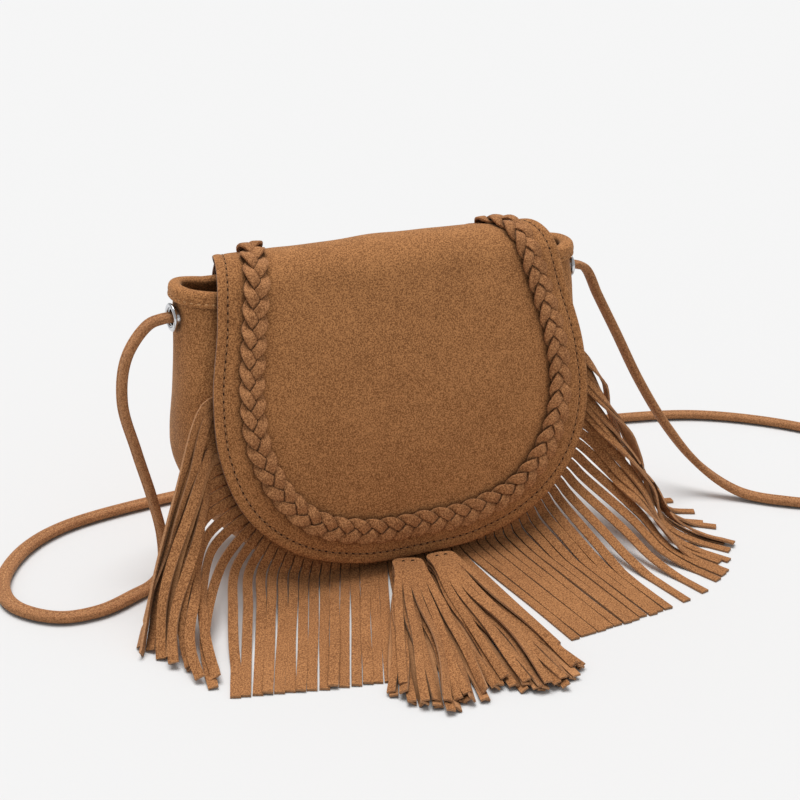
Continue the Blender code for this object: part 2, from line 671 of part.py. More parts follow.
face_x = middle_half_width(EYELET_Z)
outer_r = EYELET_OUTER / 2
bore_r = EYELET_BORE / 2
barrel_r = bore_r + EYELET_WALL
for label, sign in (("left", -1.0), ("right", 1.0)):
    centre = (sign * face_x, EYELET_Y, EYELET_Z)
    reach_in = -5.9
    eyelet_profile = (
        (1.0, outer_r), (1.0, barrel_r), (reach_in, barrel_r), (reach_in, bore_r), (1.4, bore_r),
        (2.0, bore_r + 0.7), (2.2, (outer_r + bore_r) / 2), (1.9, outer_r - 0.5), (1.4, outer_r),
    )
    turned(f"eyelet_{label}", eyelet_profile, centre, sign, steel)
    washer_in = reach_in + 0.2
    washer_profile = (
        (washer_in, barrel_r + GAP), (washer_in, outer_r - 1), (washer_in + 0.7, outer_r - 1), (washer_in + 0.7, barrel_r + GAP),
    )
    turned(f"eyelet_washer_{label}", washer_profile, centre, sign, steel)
    bpy.ops.mesh.primitive_cylinder_add(
        vertices=28, radius=(barrel_r + GAP) * MM, depth=24 * MM,
        location=(centre[0] * MM, centre[1] * MM, centre[2] * MM), rotation=(0, math.pi / 2, 0),
    )
    cutter = bpy.context.active_object
    cutter.name = f"eyelet_hole_{label}"
    cutter.hide_render = True
    cutter.display_type = "WIRE"
    for wall in (gusset, lining):
        cut = wall.modifiers.new(f"eyelet_{label}", "BOOLEAN")
        cut.operation = "DIFFERENCE"
        cut.solver = "EXACT"
        cut.object = cutter

# Strap: one closed run from the left eyelet over the floor to the right eyelet
hanging = by_bend(smooth(STRAP_ROUTE, 1200), 74)
inside = np.array([(-STRAP_END_X, EYELET_Y, EYELET_Z), (-110.0, EYELET_Y, EYELET_Z), (-114.5, EYELET_Y, EYELET_Z)])
route = np.vstack([inside, hanging, inside[::-1] * (-1, 1, 1)])
route[:, 2] = np.maximum(route[:, 2], STRAP_DIAMETER / 2 + 0.15)
curve = bpy.data.curves.new("strap", "CURVE")
curve.dimensions = "3D"
curve.bevel_depth = STRAP_DIAMETER / 2 * MM
curve.bevel_resolution = 2
curve.use_fill_caps = True
spline = curve.splines.new("POLY")
spline.points.add(len(route) - 1)
for point, place in zip(spline.points, route):
    point.co = (*(place * MM), 1.0)
curve.materials.append(suede)
strap = bpy.data.objects.new("strap", curve)
bpy.context.scene.collection.objects.link(strap)

for label, sign in (("left", -1.0), ("right", 1.0)):
    end = STRAP_END_X
    rings = []
    for k in range(7):
        angle = math.pi * (k + 0.5) / 7
        r = KNOT_SIZE / 2 * math.sin(angle)
        x = sign * (end - 0.5 - KNOT_SIZE * 0.35 * (1 - math.cos(angle)))
        rings.append([(x, EYELET_Y + r * math.cos(2 * math.pi * j / 12), EYELET_Z + r * math.sin(2 * math.pi * j / 12)) for j in range(12)])
    swept(f"strap_knot_{label}", rings, suede)

# Tassels: a folded head with its strips fanned over the floor
for label, (hx, hy, ex, ey, spread) in zip(("left", "right"), TASSEL_HEADS):
    head_centre = np.array([hx, hy])
    way = unit(np.array([ex, ey]) - head_centre)
    side_way = np.array([-way[1], way[0]])
    rings = []
    for share, wide, high in ((0.0, 0.50, 0.45), (0.08, 0.80, 0.78), (0.25, 1.0, 1.0), (0.6, 0.98, 1.0), (1.0, 0.92, 0.90)):
        ring = []
        for k in range(14):
            angle = 2 * math.pi * k / 14
            flat = abs(math.cos(angle)) ** 0.7 * math.copysign(1, math.cos(angle))
            tall = abs(math.sin(angle)) ** 0.7 * math.copysign(1, math.sin(angle))
            xy = head_centre + way * TASSEL_HEAD_LENGTH * share + side_way * TASSEL_HEAD_WIDTH / 2 * wide * flat
            ring.append((*xy, 2.2 + TASSEL_HEAD_HEIGHT / 2 + TASSEL_HEAD_HEIGHT / 2 * high * tall))
        rings.append(ring)
    head = swept(f"tassel_{label}", rings, suede)
    length = float(np.linalg.norm(np.array([ex, ey]) - head_centre)) - TASSEL_HEAD_LENGTH
    count = TASSEL_STRIPS
    root_line = [head_centre + way * (TASSEL_HEAD_LENGTH - 2.5) + side_way * (TASSEL_HEAD_WIDTH - 2.5) * (k / (count - 1) - 0.5) for k in range(count)]
    lines = []
    for k, root in enumerate(root_line):
        share = k / (count - 1) - 0.5
        tip = head_centre + way * (TASSEL_HEAD_LENGTH + length * (1 - 0.10 * (2 * share) ** 2)) + side_way * spread * share
        base = 2.2 + TASSEL_HEAD_HEIGHT / 2
        control = [
            (*root, base), (*(root + way * 6), base), (*(root * 0.7 + tip * 0.3), 4.6),
            (*(root * 0.35 + tip * 0.65), 3.4), (*tip, 2.6),
        ]
        lines.append(evenly(smooth(control, 60), 7))
    lines = np.array(lines)
    ahead, sideways, over, tilt = strip_frames(lines, np.array([0.0, 0.0, 1.0]), TASSEL_STRIP_WIDTH, TASSEL_STRIP_THICKNESS, 0.45)
    tilt[:, 0] = tilt[:, 1]
    bundle_points = []
    bundle_faces = []
    for k in range(count):
        for j in range(lines.shape[1]):
            width_way = sideways[k, j] * math.cos(tilt[k, j]) + over[k, j] * math.sin(tilt[k, j])
            thick_way = unit(np.cross(ahead[k, j], width_way))
            half = width_way * TASSEL_STRIP_WIDTH / 2
            deep = thick_way * TASSEL_STRIP_THICKNESS / 2
            centre = lines[k, j].copy()
            centre[2] += max(1.5 - (centre[2] - abs(half[2]) - abs(deep[2])), 0.0)
            start = len(bundle_points)
            bundle_points += [centre - half + deep, centre + half + deep, centre + half - deep, centre - half - deep]
            if j:
                for c in range(4):
                    d = (c + 1) % 4
                    bundle_faces.append((start - 4 + c, start - 4 + d, start + d, start + c))
            else:
                bundle_faces.append((start + 3, start + 2, start + 1, start))
        bundle_faces.append((start, start + 1, start + 2, start + 3))
    bundle = solid(f"tassel_strips_{label}", bundle_points, bundle_faces, suede)
    bundle.hide_render = True
    bundle.display_type = "WIRE"
    join = head.modifiers.new("strips", "BOOLEAN")
    join.operation = "UNION"
    join.solver = "EXACT"
    join.object = bundle

# Lace: runs from one tassel up under the flap, through a leather loop on the front panel, and down to the other
LACE_Z = sum(LOOP_Z) / 2
half_lace = []
for label, (hx, hy, ex, ey, spread) in zip(("left", "right"), TASSEL_HEADS):
    sign = math.copysign(1.0, hx)
    half_lace.append([
        (hx, hy + 0.9, 6.2), (hx, hy + 2.6, 5.2), (hx * 0.95, -37.8, 4.8), (hx * 0.85, -34.4, 5.5), (hx * 0.75, -32.6, 9.0),
        (sign * 6.8, front_y(20) - 4.4, 20), (sign * 7.4, front_y(30) - 2.6, 30.5),
    ])
through = [(-4.6, front_y(LACE_Z) - 1.5, LACE_Z - 0.3), (0.0, front_y(LACE_Z) - 1.45, LACE_Z), (4.6, front_y(LACE_Z) - 1.5, LACE_Z - 0.3)]
lace_path = smooth(half_lace[0] + through + half_lace[1][::-1], 44)
lace_way = unit(np.gradient(lace_path, axis=0))
rings = []
steady = np.array([1.0, 0.0, 0.0])
for centre, way in zip(lace_path, lace_way):
    steady = unit(steady - way * (steady @ way))
    other = np.cross(way, steady)
    rings.append([
        centre + (steady * math.cos(2 * math.pi * k / 8) + other * math.sin(2 * math.pi * k / 8)) * LACE_DIAMETER / 2 for k in range(8)
    ])
swept("tassel_lace", rings, suede)

upper = []
lower = []
for share in np.linspace(0, 1, 13):
    z = LOOP_Z[0] + share * (LOOP_Z[1] - LOOP_Z[0])
    bow = (LACE_DIAMETER + 2 * GAP + 0.3) * math.sin(math.pi * share) ** 0.7 if 0 < share < 1 else 0.0
    y = front_y(z) - GAP - bow
    upper.append([(-LOOP_WIDTH / 2, y, z), (LOOP_WIDTH / 2, y, z)])
    lower.append([(-LOOP_WIDTH / 2, y - LOOP_LEATHER, z), (LOOP_WIDTH / 2, y - LOOP_LEATHER, z)])
slab("lace_loop", upper, lower, suede)

# The flap turns about its seam on the back panel, with its lining and braid
hinge = bpy.data.objects.new("flap_hinge", None)
hinge.empty_display_type = "ARROWS"
hinge.empty_display_size = 30 * MM
hinge.location = (0.0, (FOLD_Y + FOLD_RADIUS) * MM, (FOLD_Z - FLAP_TAIL) * MM)
bpy.context.scene.collection.objects.link(hinge)
bpy.context.view_layer.update()
for name in ("flap", "flap_lining", "braid_strand_1", "braid_strand_2", "braid_strand_3"):
    piece = bpy.data.objects[name]
    piece.parent = hinge
    piece.matrix_parent_inverse = hinge.matrix_world.inverted()
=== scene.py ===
import bpy
import math
import numpy as np
from mathutils import Matrix, Vector


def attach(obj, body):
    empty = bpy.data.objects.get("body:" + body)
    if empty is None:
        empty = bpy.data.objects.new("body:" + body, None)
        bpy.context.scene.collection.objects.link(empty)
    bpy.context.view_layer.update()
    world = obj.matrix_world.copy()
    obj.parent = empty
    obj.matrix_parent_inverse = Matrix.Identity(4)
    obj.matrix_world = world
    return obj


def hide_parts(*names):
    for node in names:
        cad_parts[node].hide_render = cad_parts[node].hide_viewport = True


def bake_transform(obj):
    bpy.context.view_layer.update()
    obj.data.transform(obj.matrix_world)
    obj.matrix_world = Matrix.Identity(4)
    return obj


# Fringed suede crossbody bag on a plain pale floor. Points are in millimetres until a mesh is made.
# X runs along the front of the bag, Y towards its back and Z up from the floor.
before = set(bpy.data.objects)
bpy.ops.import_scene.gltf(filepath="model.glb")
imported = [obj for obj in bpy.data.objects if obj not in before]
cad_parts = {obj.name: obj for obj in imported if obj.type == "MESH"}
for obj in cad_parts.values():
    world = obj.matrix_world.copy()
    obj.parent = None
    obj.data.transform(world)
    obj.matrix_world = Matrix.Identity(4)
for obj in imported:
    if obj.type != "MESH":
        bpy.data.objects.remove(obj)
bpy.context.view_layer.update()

# Camera
# A viewer in front of the bag and a little to its left looks down on it with a short telephoto lens.
CAMERA_PLACE = Vector((-0.3705, -0.7044, 0.4076))
CAMERA_TARGET = Vector((0.02012, 0.030, 0.0639))
CAMERA_ROLL = math.radians(2.0)
camera_data = bpy.data.cameras.new("camera")
camera_data.sensor_width = 36.0
camera_data.lens = 74.8
camera_data.clip_start = 0.02
camera_data.clip_end = 30.0
camera = bpy.data.objects.new("camera", camera_data)
bpy.context.scene.collection.objects.link(camera)
towards_viewer = (CAMERA_PLACE - CAMERA_TARGET).normalized()
level_right = Vector((0, 0, 1)).cross(towards_viewer).normalized()
level_up = towards_viewer.cross(level_right)
camera_right = level_right * math.cos(CAMERA_ROLL) + level_up * math.sin(CAMERA_ROLL)
camera_up = level_up * math.cos(CAMERA_ROLL) - level_right * math.sin(CAMERA_ROLL)
turned_camera = Matrix((camera_right, camera_up, towards_viewer)).transposed().to_4x4()
camera.matrix_world = Matrix.Translation(CAMERA_PLACE) @ turned_camera
bpy.context.scene.camera = camera

# Studio
# A seamless pale floor under a wide overhead softbox set slightly behind the bag, with even light all round.
FLOOR_COLOUR = (0.775, 0.775, 0.775)
floor_mesh = bpy.data.meshes.new("floor")
floor_mesh.from_pydata([(-12, -12, 0), (12, -12, 0), (12, 12, 0), (-12, 12, 0)], [], [(0, 1, 2, 3)])
floor = bpy.data.objects.new("floor", floor_mesh)
bpy.context.scene.collection.objects.link(floor)
paper = bpy.data.materials.new("floor_paper")
paper.use_nodes = True
paper.node_tree.nodes["Principled BSDF"].inputs["Base Color"].default_value = (*FLOOR_COLOUR, 1)
paper.node_tree.nodes["Principled BSDF"].inputs["Roughness"].default_value = 1.0
paper.node_tree.nodes["Principled BSDF"].inputs["Specular IOR Level"].default_value = 0.0
floor_mesh.materials.append(paper)

world = bpy.data.worlds.new("studio")
world.use_nodes = True
world.node_tree.nodes["Background"].inputs["Color"].default_value = (1, 1, 1, 1)
world.node_tree.nodes["Background"].inputs["Strength"].default_value = 0.42
bpy.context.scene.world = world
softbox_data = bpy.data.lights.new("softbox", "SUN")
softbox_data.energy = 2.45
softbox_data.angle = math.radians(38)
softbox = bpy.data.objects.new("softbox", softbox_data)
softbox.rotation_mode = "QUATERNION"
softbox.rotation_quaternion = Vector((-0.03, 0.19, 0.98)).to_track_quat("Z", "Y")
bpy.context.scene.collection.objects.link(softbox)
bpy.context.scene.view_settings.view_transform = "Standard"

# Front panel, back panel and gusset
# Thin suede leather in two U-shaped panels, joined by one long gusset strip for both ends and the base.
# They are sewn inside out and turned, so each seam is a narrow groove.
LEATHER = 1.4
RIM_Z = 145.0
RIM_HALF_WIDTH = 92.0
SEAM_HALF_WIDTH = 96.0
CORNER_RADIUS = 58.0
SEAM_BOTTOM_Z = 7.0
RIM_RISE_AT_ENDS = 2.5
FOLD_Y = 18.4
FOLD_Z = 141.4
FOLD_RADIUS = 19.7
FLAP_LEAN = math.radians(21.1)
FLAP_LEAN_CHANGE = -0.0015
FOLD_FRONT = FOLD_RADIUS * (math.pi / 2 - FLAP_LEAN)
FOLD_BACK = -FOLD_RADIUS * math.pi / 2
# The back as (z, y)
BACK_PROFILE = (
    (7.0, 38.5), (20.0, 40.5), (60.0, 40.5), (100.0, 37.4), (124.0, 35.2), (134.0, 34.9), (145.0, 32.7),
)
BODY_BEHIND_FLAP_TOP = 5.5
BODY_BEHIND_FLAP_BOTTOM = 9.5
GUSSET_BULGE_SIDE = 20.0
GUSSET_BULGE_BASE = 7.5
FLAP_CENTRE = 75.0
FLAP_FRONT_RADIUS = 95.3


def unit(vectors):
    vectors = np.asarray(vectors, float)
    return vectors / np.maximum(np.linalg.norm(vectors, axis=-1, keepdims=True), 1e-9)


def towards(look, directions):
    """The directions, each turned round where it points away from where it should look."""
    return directions * np.where((directions * look).sum(axis=-1) < 0, -1.0, 1.0)[..., None]


def read_off(at, known, values):
    """Values between known ones, column by column."""
    return np.stack([np.interp(at, known, values[:, k]) for k in range(values.shape[1])], axis=1)


def path_length(points):
    return float(np.linalg.norm(np.diff(points, axis=0), axis=1).sum())


def evenly(points, count):
    """The given number of points at even distances along a line."""
    points = np.asarray(points, float)
    length = np.concatenate([[0.0], np.cumsum(np.linalg.norm(np.diff(points, axis=0), axis=1))])
    return read_off(np.linspace(0.0, length[-1], count), length, points)


def smooth(points, count):
    """Points along a smooth curve through the given ones, evenly spaced."""
    p = np.asarray(points, float)
    p = np.vstack([2 * p[0] - p[1], p, 2 * p[-1] - p[-2]])
    knots = np.concatenate([[0.0], np.cumsum(np.linalg.norm(np.diff(p, axis=0), axis=1) ** 0.5)])
    found = []
    for i in range(1, len(p) - 2):
        t0, t1, t2, t3 = knots[i - 1 : i + 3]
        t = np.linspace(t1, t2, 24, endpoint=False)[:, None]
        a1 = (t1 - t) / (t1 - t0) * p[i - 1] + (t - t0) / (t1 - t0) * p[i]
        a2 = (t2 - t) / (t2 - t1) * p[i] + (t - t1) / (t2 - t1) * p[i + 1]
        a3 = (t3 - t) / (t3 - t2) * p[i + 1] + (t - t2) / (t3 - t2) * p[i + 2]
        b1 = (t2 - t) / (t2 - t0) * a1 + (t - t0) / (t2 - t0) * a2
        b2 = (t3 - t) / (t3 - t1) * a2 + (t - t1) / (t3 - t1) * a3
        found.append((t2 - t) / (t2 - t1) * b1 + (t - t1) / (t2 - t1) * b2)
    return evenly(np.vstack(found + [p[-2:-1]]), count)


def ripple(points, span, seed):
    """Soft unevenness between about -1 and 1, its hills about span apart."""
    rng = np.random.default_rng(seed)
    points = np.asarray(points, float)
    total = 0.0
    for _ in range(7):
        way = unit(rng.normal(size=points.shape[-1]))
        turns = points @ way / (span * rng.uniform(0.7, 1.5)) + rng.uniform(0, 1)
        total = total + np.sin(2 * math.pi * turns)
    return total / 3.5


def new_material(name):
    """A material, its node tree and its surface shader."""
    material = bpy.data.materials.new(name)
    material.use_nodes = True
    return material, material.node_tree, material.node_tree.nodes["Principled BSDF"]


def plug(tree, value, socket):
    """Sets a socket to a value, or joins another node's output to it."""
    if isinstance(value, bpy.types.NodeSocket):
        tree.links.new(value, socket)
    else:
        socket.default_value = value


def node(tree, kind, **values):
    """A new shader node and what its sockets take. An underscore in a socket's name stands for a space."""
    added = tree.nodes.new(kind)
    for name, value in values.items():
        plug(tree, value, added.inputs[name.replace("_", " ")])
    return added


def worked_out(tree, operation, *values):
    """The result of a Math node. Each value is a number or another node's output."""
    added = node(tree, "ShaderNodeMath")
    added.operation = operation
    for socket, value in zip(added.inputs, values):
        plug(tree, value, socket)
    return added.outputs[0]


def two_tone(tree, tone, dark, light):
    """A colour between two others, by the tone's value from 0 to 1."""
    blend = node(tree, "ShaderNodeMix")
    blend.data_type = "RGBA"
    blend.clamp_factor = True
    tree.links.new(tone, blend.inputs["Factor"])
    blend.inputs["A"].default_value = (*dark, 1)
    blend.inputs["B"].default_value = (*light, 1)
    return blend.outputs["Result"]


def roughen(tree, shader, height, strength):
    """A fine bump on a surface."""
    bump = node(tree, "ShaderNodeBump", Height=height, Strength=strength, Distance=0.0003)
    tree.links.new(bump.outputs["Normal"], shader.inputs["Normal"])


def suede(name, light, dark, speck=1.1, painted_ridge_light=0.0):
    """Brushed suede: cloudy nap, a fine sandy grain, painted shade from ambient occlusion in creases and
    hollows, painted ridge highlights and hollow shade when asked for, and a soft sheen at glancing angles.
    """
    material, tree, shader = new_material(name)
    place = node(tree, "ShaderNodeTexCoord").outputs["Object"]

    def cloud(scale, detail):
        texture = node(tree, "ShaderNodeTexNoise", Vector=place, Scale=scale, Detail=detail, Roughness=0.6)
        return texture.outputs["Fac"]

    def centred(value, share):
        return worked_out(tree, "MULTIPLY_ADD", value, share, -share / 2)

    sand = cloud(1450.0, 2.0)
    tone = worked_out(tree, "ADD", centred(cloud(24.0, 3.0), 0.65), centred(cloud(190.0, 3.0), 0.42))
    tone = worked_out(tree, "ADD", tone, centred(sand, 4.2 * speck))
    tone = worked_out(tree, "ADD", tone, 0.5)
    # Painted highlight and shade: the mesh's pointiness lightens sharp ridges and darkens hollows.
    if painted_ridge_light:
        painted_ridge_highlight = node(tree, "ShaderNodeNewGeometry").outputs["Pointiness"]
        tone = worked_out(tree, "ADD", tone, centred(painted_ridge_highlight, painted_ridge_light))
    # Painted shade: ambient occlusion darkens the colour in creases, hollows and where pieces touch, down to
    # 0.38 of it.
    painted_crease_shade = node(tree, "ShaderNodeAmbientOcclusion", Distance=0.0045)
    painted_crease_shade.samples = 8
    open_share = painted_crease_shade.outputs["AO"]
    depth = node(
        tree, "ShaderNodeMapRange", Value=open_share, From_Min=0.25, From_Max=0.85, To_Min=0.38, To_Max=1.0)
    shaded = node(tree, "ShaderNodeVectorMath")
    shaded.operation = "SCALE"
    plug(tree, two_tone(tree, tone, dark, light), shaded.inputs[0])
    plug(tree, depth.outputs["Result"], shaded.inputs["Scale"])
    tree.links.new(shaded.outputs["Vector"], shader.inputs["Base Color"])
    fuzz = node(tree, "ShaderNodeTexNoise", Vector=place, Scale=1900.0, Detail=3.0)
    roughen(tree, shader, worked_out(tree, "ADD", fuzz.outputs["Fac"], sand), 0.35)
    shader.inputs["Roughness"].default_value = 0.92
    shader.inputs["Specular IOR Level"].default_value = 0.22
    shader.inputs["Sheen Weight"].default_value = 0.16
    shader.inputs["Sheen Roughness"].default_value = 0.45
    shader.inputs["Sheen Tint"].default_value = (1.0, 0.78, 0.55, 1)
    return material


suede_brown = suede("suede_brown", (0.565, 0.255, 0.094), (0.225, 0.088, 0.028))


def made(name, points, faces, materials, finishes=None, sharp=50):
    """One object from points in millimetres, with a finish number for each face."""
    mesh = bpy.data.meshes.new(name)
    mesh.from_pydata((np.asarray(points, float) / 1000).tolist(), [], [tuple(map(int, f)) for f in faces])
    for material in materials:
        mesh.materials.append(material)
    if finishes is not None:
        mesh.polygons.foreach_set("material_index", np.asarray(finishes, np.int32))
    mesh.shade_smooth()
    mesh.set_sharp_from_angle(angle=math.radians(sharp))
    piece = bpy.data.objects.new(name, mesh)
    bpy.context.scene.collection.objects.link(piece)
    return piece


def sheet_faces(rows, columns):
    """Faces of a sheet with thickness: its upper grid of points, its lower grid and the edge between them."""
    grid = np.arange(rows * columns).reshape(rows, columns)
    top = np.stack([grid[:-1, :-1], grid[:-1, 1:], grid[1:, 1:], grid[1:, :-1]], axis=2).reshape(-1, 4)
    border = np.concatenate([grid[0], grid[1:, -1], grid[-1, -2::-1], grid[-2:0:-1, 0]])
    beside = np.roll(border, -1)
    edge = np.stack([beside, border, border + grid.size, beside + grid.size], axis=1)
    return np.concatenate([top, top[:, ::-1] + grid.size]), edge


def slab(name, upper, lower, materials, rim=0):
    """A sheet with thickness from two grids of points. Its edge takes the finish numbered rim."""
    points = np.concatenate([upper.reshape(-1, 3), lower.reshape(-1, 3)])
    sides, edge = sheet_faces(*upper.shape[:2])
    finishes = [0] * len(sides) + [rim] * len(edge)
    return made(name, points, np.concatenate([sides, edge]), materials, finishes)


def wall_faces(count, sides, closed=False):
    """Faces between rings of points. Closed also joins the last ring to the first."""
    ring = np.arange(sides)
    beside = np.roll(ring, -1)
    wall = np.stack([ring, beside, beside + sides, ring + sides], axis=1)
    steps = np.arange(count if closed else count - 1)[:, None, None] * sides
    return ((wall + steps) % (count * sides)).reshape(-1, 4)


def tube_faces(count, sides, closed=False):
    """Faces of a tube through rings of points, capped at both ends unless it is closed into a loop."""
    faces = wall_faces(count, sides, closed).tolist()
    if not closed:
        faces.append(list(range(sides - 1, -1, -1)))
        faces.append([(count - 1) * sides + c for c in range(sides)])
    return faces


def many_tubes(rings):
    """Points and faces of separate capped tubes, all of the same number of rings."""
    number, count, sides = rings.shape[:3]
    starts = np.arange(number) * count * sides
    faces = [[point + start for point in face] for start in starts for face in tube_faces(count, sides)]
    return rings.reshape(-1, 3), faces


def flap_section(s, depth=0.0):
    """(y, z) at s along the flap from the top of its fold, and at a depth under its outer face."""
    s, depth = np.broadcast_arrays(np.asarray(s, float), np.asarray(depth, float))
    turn = np.clip(s, FOLD_BACK, FOLD_FRONT) / FOLD_RADIUS
    y = FOLD_Y - (FOLD_RADIUS - depth) * np.sin(turn)
    z = FOLD_Z + (FOLD_RADIUS - depth) * np.cos(turn) + np.minimum(s - FOLD_BACK, 0)
    run = np.maximum(s - FOLD_FRONT, 0)
    lean = FLAP_LEAN + FLAP_LEAN_CHANGE * run
    cosine, sine = math.cos(FLAP_LEAN), math.sin(FLAP_LEAN)
    face_y = FOLD_Y - FOLD_RADIUS * cosine - (cosine - np.cos(lean)) / FLAP_LEAN_CHANGE
    face_z = FOLD_Z + FOLD_RADIUS * sine - (np.sin(lean) - sine) / FLAP_LEAN_CHANGE
    on_front = s > FOLD_FRONT
    y = np.where(on_front, face_y + depth * np.cos(lean), y)
    z = np.where(on_front, face_z - depth * np.sin(lean), z)
    return y, z


# The front panel leans back with the flap and stays a little behind it
behind = np.linspace(FOLD_FRONT - 8, FLAP_CENTRE + FLAP_FRONT_RADIUS + 8, 160)
falling_back = np.clip((behind - FOLD_FRONT) / 70, 0, 1)
behind_depth = BODY_BEHIND_FLAP_TOP + (BODY_BEHIND_FLAP_BOTTOM - BODY_BEHIND_FLAP_TOP) * falling_back
behind_y, behind_z = flap_section(behind, behind_depth)
back_curve = smooth(BACK_PROFILE, 160)


def front_y(z):
    return np.interp(z, behind_z[::-1], behind_y[::-1])


def back_y(z):
    return np.interp(z, back_curve[:, 0], back_curve[:, 1])


corner_z = SEAM_BOTTOM_Z + CORNER_RADIUS
corner_x = SEAM_HALF_WIDTH - CORNER_RADIUS


def seam_half_width(z):
    share = np.clip((z - corner_z) / (RIM_Z - corner_z), 0, 1)
    drop = np.clip(corner_z - z, 0, CORNER_RADIUS)
    return corner_x + np.sqrt(CORNER_RADIUS**2 - drop**2) - (SEAM_HALF_WIDTH - RIM_HALF_WIDTH) * share**2


# The seam seen from the front: down the left side, along the base and up the right side
left_side = [(-seam_half_width(z), z) for z in np.linspace(RIM_Z, corner_z, 40)]
turning = np.radians(np.linspace(0, 90, 60)[1:])
left_side += [
    (-corner_x - CORNER_RADIUS * math.cos(a), corner_z - CORNER_RADIUS * math.sin(a)) for a in turning
]
left_side += [(-corner_x / 2, SEAM_BOTTOM_Z)]
seam_line = np.array(left_side + [(0.0, SEAM_BOTTOM_Z)] + [(-x, z) for x, z in left_side[::-1]])


def seam_points(count):
    line = evenly(seam_line, count)
    along = unit(np.gradient(line, axis=0))
    out = np.stack([along[:, 1], -along[:, 0]], axis=1)
    return line, towards(line - (0.0, 80.0), out)


def gusset_grid(rows, columns, inset=0.0):
    """The gusset's outer face, from the front seam to the back seam all along the seam line."""
    line, out = seam_points(rows)
    out[0] = (-1.0, 0.0)
    out[-1] = (1.0, 0.0)
    x, z = line[:, :1], line[:, 1:]
    down = np.clip(-out[:, 1:], 0, 1)
    share = np.clip((z - corner_z) / (RIM_Z - corner_z), 0, 1)
    bulge = GUSSET_BULGE_BASE + (GUSSET_BULGE_SIDE - share - GUSSET_BULGE_BASE) * (1 - down) ** 0.8 - inset
    angle = np.linspace(0, math.pi, columns)[None, :]
    rise = np.maximum(np.sin(angle), 0) ** (2 / (3.0 + down))
    y0, y1 = front_y(z) + inset, back_y(z) - inset
    y = (y0 + y1) / 2 - (y1 - y0) / 2 * np.cos(angle)
    lift = RIM_RISE_AT_ENDS * rise * np.clip((z - 120) / (RIM_Z - 120), 0, 1)
    swollen = out * bulge
    x = x + swollen[:, :1] * rise
    return np.stack([x, y, np.maximum(z + swollen[:, 1:] * rise + lift, 0.0)], axis=2)


grid = gusset_grid(260, 45)
gusset_facing = unit(np.cross(np.gradient(grid, axis=0), np.gradient(grid, axis=1)))
gusset_facing = towards(grid - (0.0, 10.0, 75.0), gusset_facing)
grid_z = grid[:, :, 2]
calm = np.sin(np.linspace(0, math.pi, 45))[None, :] * np.clip(grid_z / 30, 0, 1)
calm = calm * np.clip((RIM_Z + 6 - grid_z) / 22, 0, 1)
dent = calm * (1.5 * ripple(grid * (1, 1.4, 1), 70, 5) + 0.5 * ripple(grid, 26, 6) - 1.6)
grid = grid + gusset_facing * dent[:, :, None]
grid[:, :, 2] = np.maximum(grid[:, :, 2], 0.0)
gusset_inside = grid - gusset_facing * LEATHER
gusset_inside[:, :, 2] = np.maximum(gusset_inside[:, :, 2], 0.4)
gusset_suede = slab("gusset_suede", grid, gusset_inside, [suede_brown])
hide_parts("gusset")
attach(gusset_suede, "bag")


def panel_grid(y_at, side, seed):
    """A U-shaped panel. Its edge turns in to the seam."""
    corner = corner_z - CORNER_RADIUS * np.sin(np.radians(np.linspace(0, 90, 40)))
    levels = np.concatenate([np.linspace(RIM_Z, corner_z, 50)[:-1], corner])
    across = np.sin(np.linspace(-math.pi / 2, math.pi / 2, 90))
    half = np.maximum(seam_half_width(levels) - 0.4, 1.0)
    x = half[:, None] * across[None, :]
    z = np.repeat(levels[:, None], 90, axis=1)
    y = y_at(z)
    from_edge = np.minimum(half[:, None] - np.abs(x), np.where(z < corner_z, z - SEAM_BOTTOM_Z + 0.2, 50))
    turned_in = 1.1 * np.clip(1 - from_edge / 1.6, 0, 1) ** 2
    points = np.stack([x, y, z], axis=2)
    soft = np.clip(from_edge / 30, 0, 1) * np.clip((RIM_Z - z) / 30, 0, 1)
    swell = soft * (0.9 * ripple(points, 60, seed) + 0.3 * ripple(points, 24, seed + 1) - 0.5)
    points[:, :, 1] += side * (turned_in - swell)
    under = points.copy()
    under[:, :, 1] += side * LEATHER
    return points, under


for name, y_at, side, seed in (("front_panel", front_y, 1.0, 21), ("back_panel", back_y, -1.0, 31)):
    upper, lower = panel_grid(y_at, side, seed)
    panel_suede = slab(name + "_suede", upper, lower, [suede_brown])
    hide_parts(name)
    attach(panel_suede, "bag")

# Lining
# A loose bag of plain dark brown cloth, sewn in only at the mouth, so that it hangs in shallow folds.
CLOTH = 0.9
LINING_GAP = 0.45
LINING_FOLD_DEPTH = 3.2
lining_cloth, tree, cloth_shader = new_material("lining_weave")
cloth_place = node(tree, "ShaderNodeTexCoord").outputs["Object"]
threads = []
for direction in ("X", "Z"):
    wave = node(tree, "ShaderNodeTexWave", Vector=cloth_place, Scale=420.0, Distortion=0.6)
    wave.bands_direction = direction
    threads.append(wave.outputs["Fac"])
weave = worked_out(tree, "MAXIMUM", *threads)
cloth_colour = two_tone(tree, weave, (0.045, 0.022, 0.012), (0.115, 0.060, 0.034))
tree.links.new(cloth_colour, cloth_shader.inputs["Base Color"])
roughen(tree, cloth_shader, weave, 0.3)
cloth_shader.inputs["Roughness"].default_value = 0.8
cloth_shader.inputs["Sheen Weight"].default_value = 0.1

middle_points = gusset_grid(161, 3)[:81, 1]
middle_points = middle_points[np.argsort(middle_points[:, 2])]


def middle_half_width(z):
    return np.interp(z, middle_points[:, 2], -middle_points[:, 0])


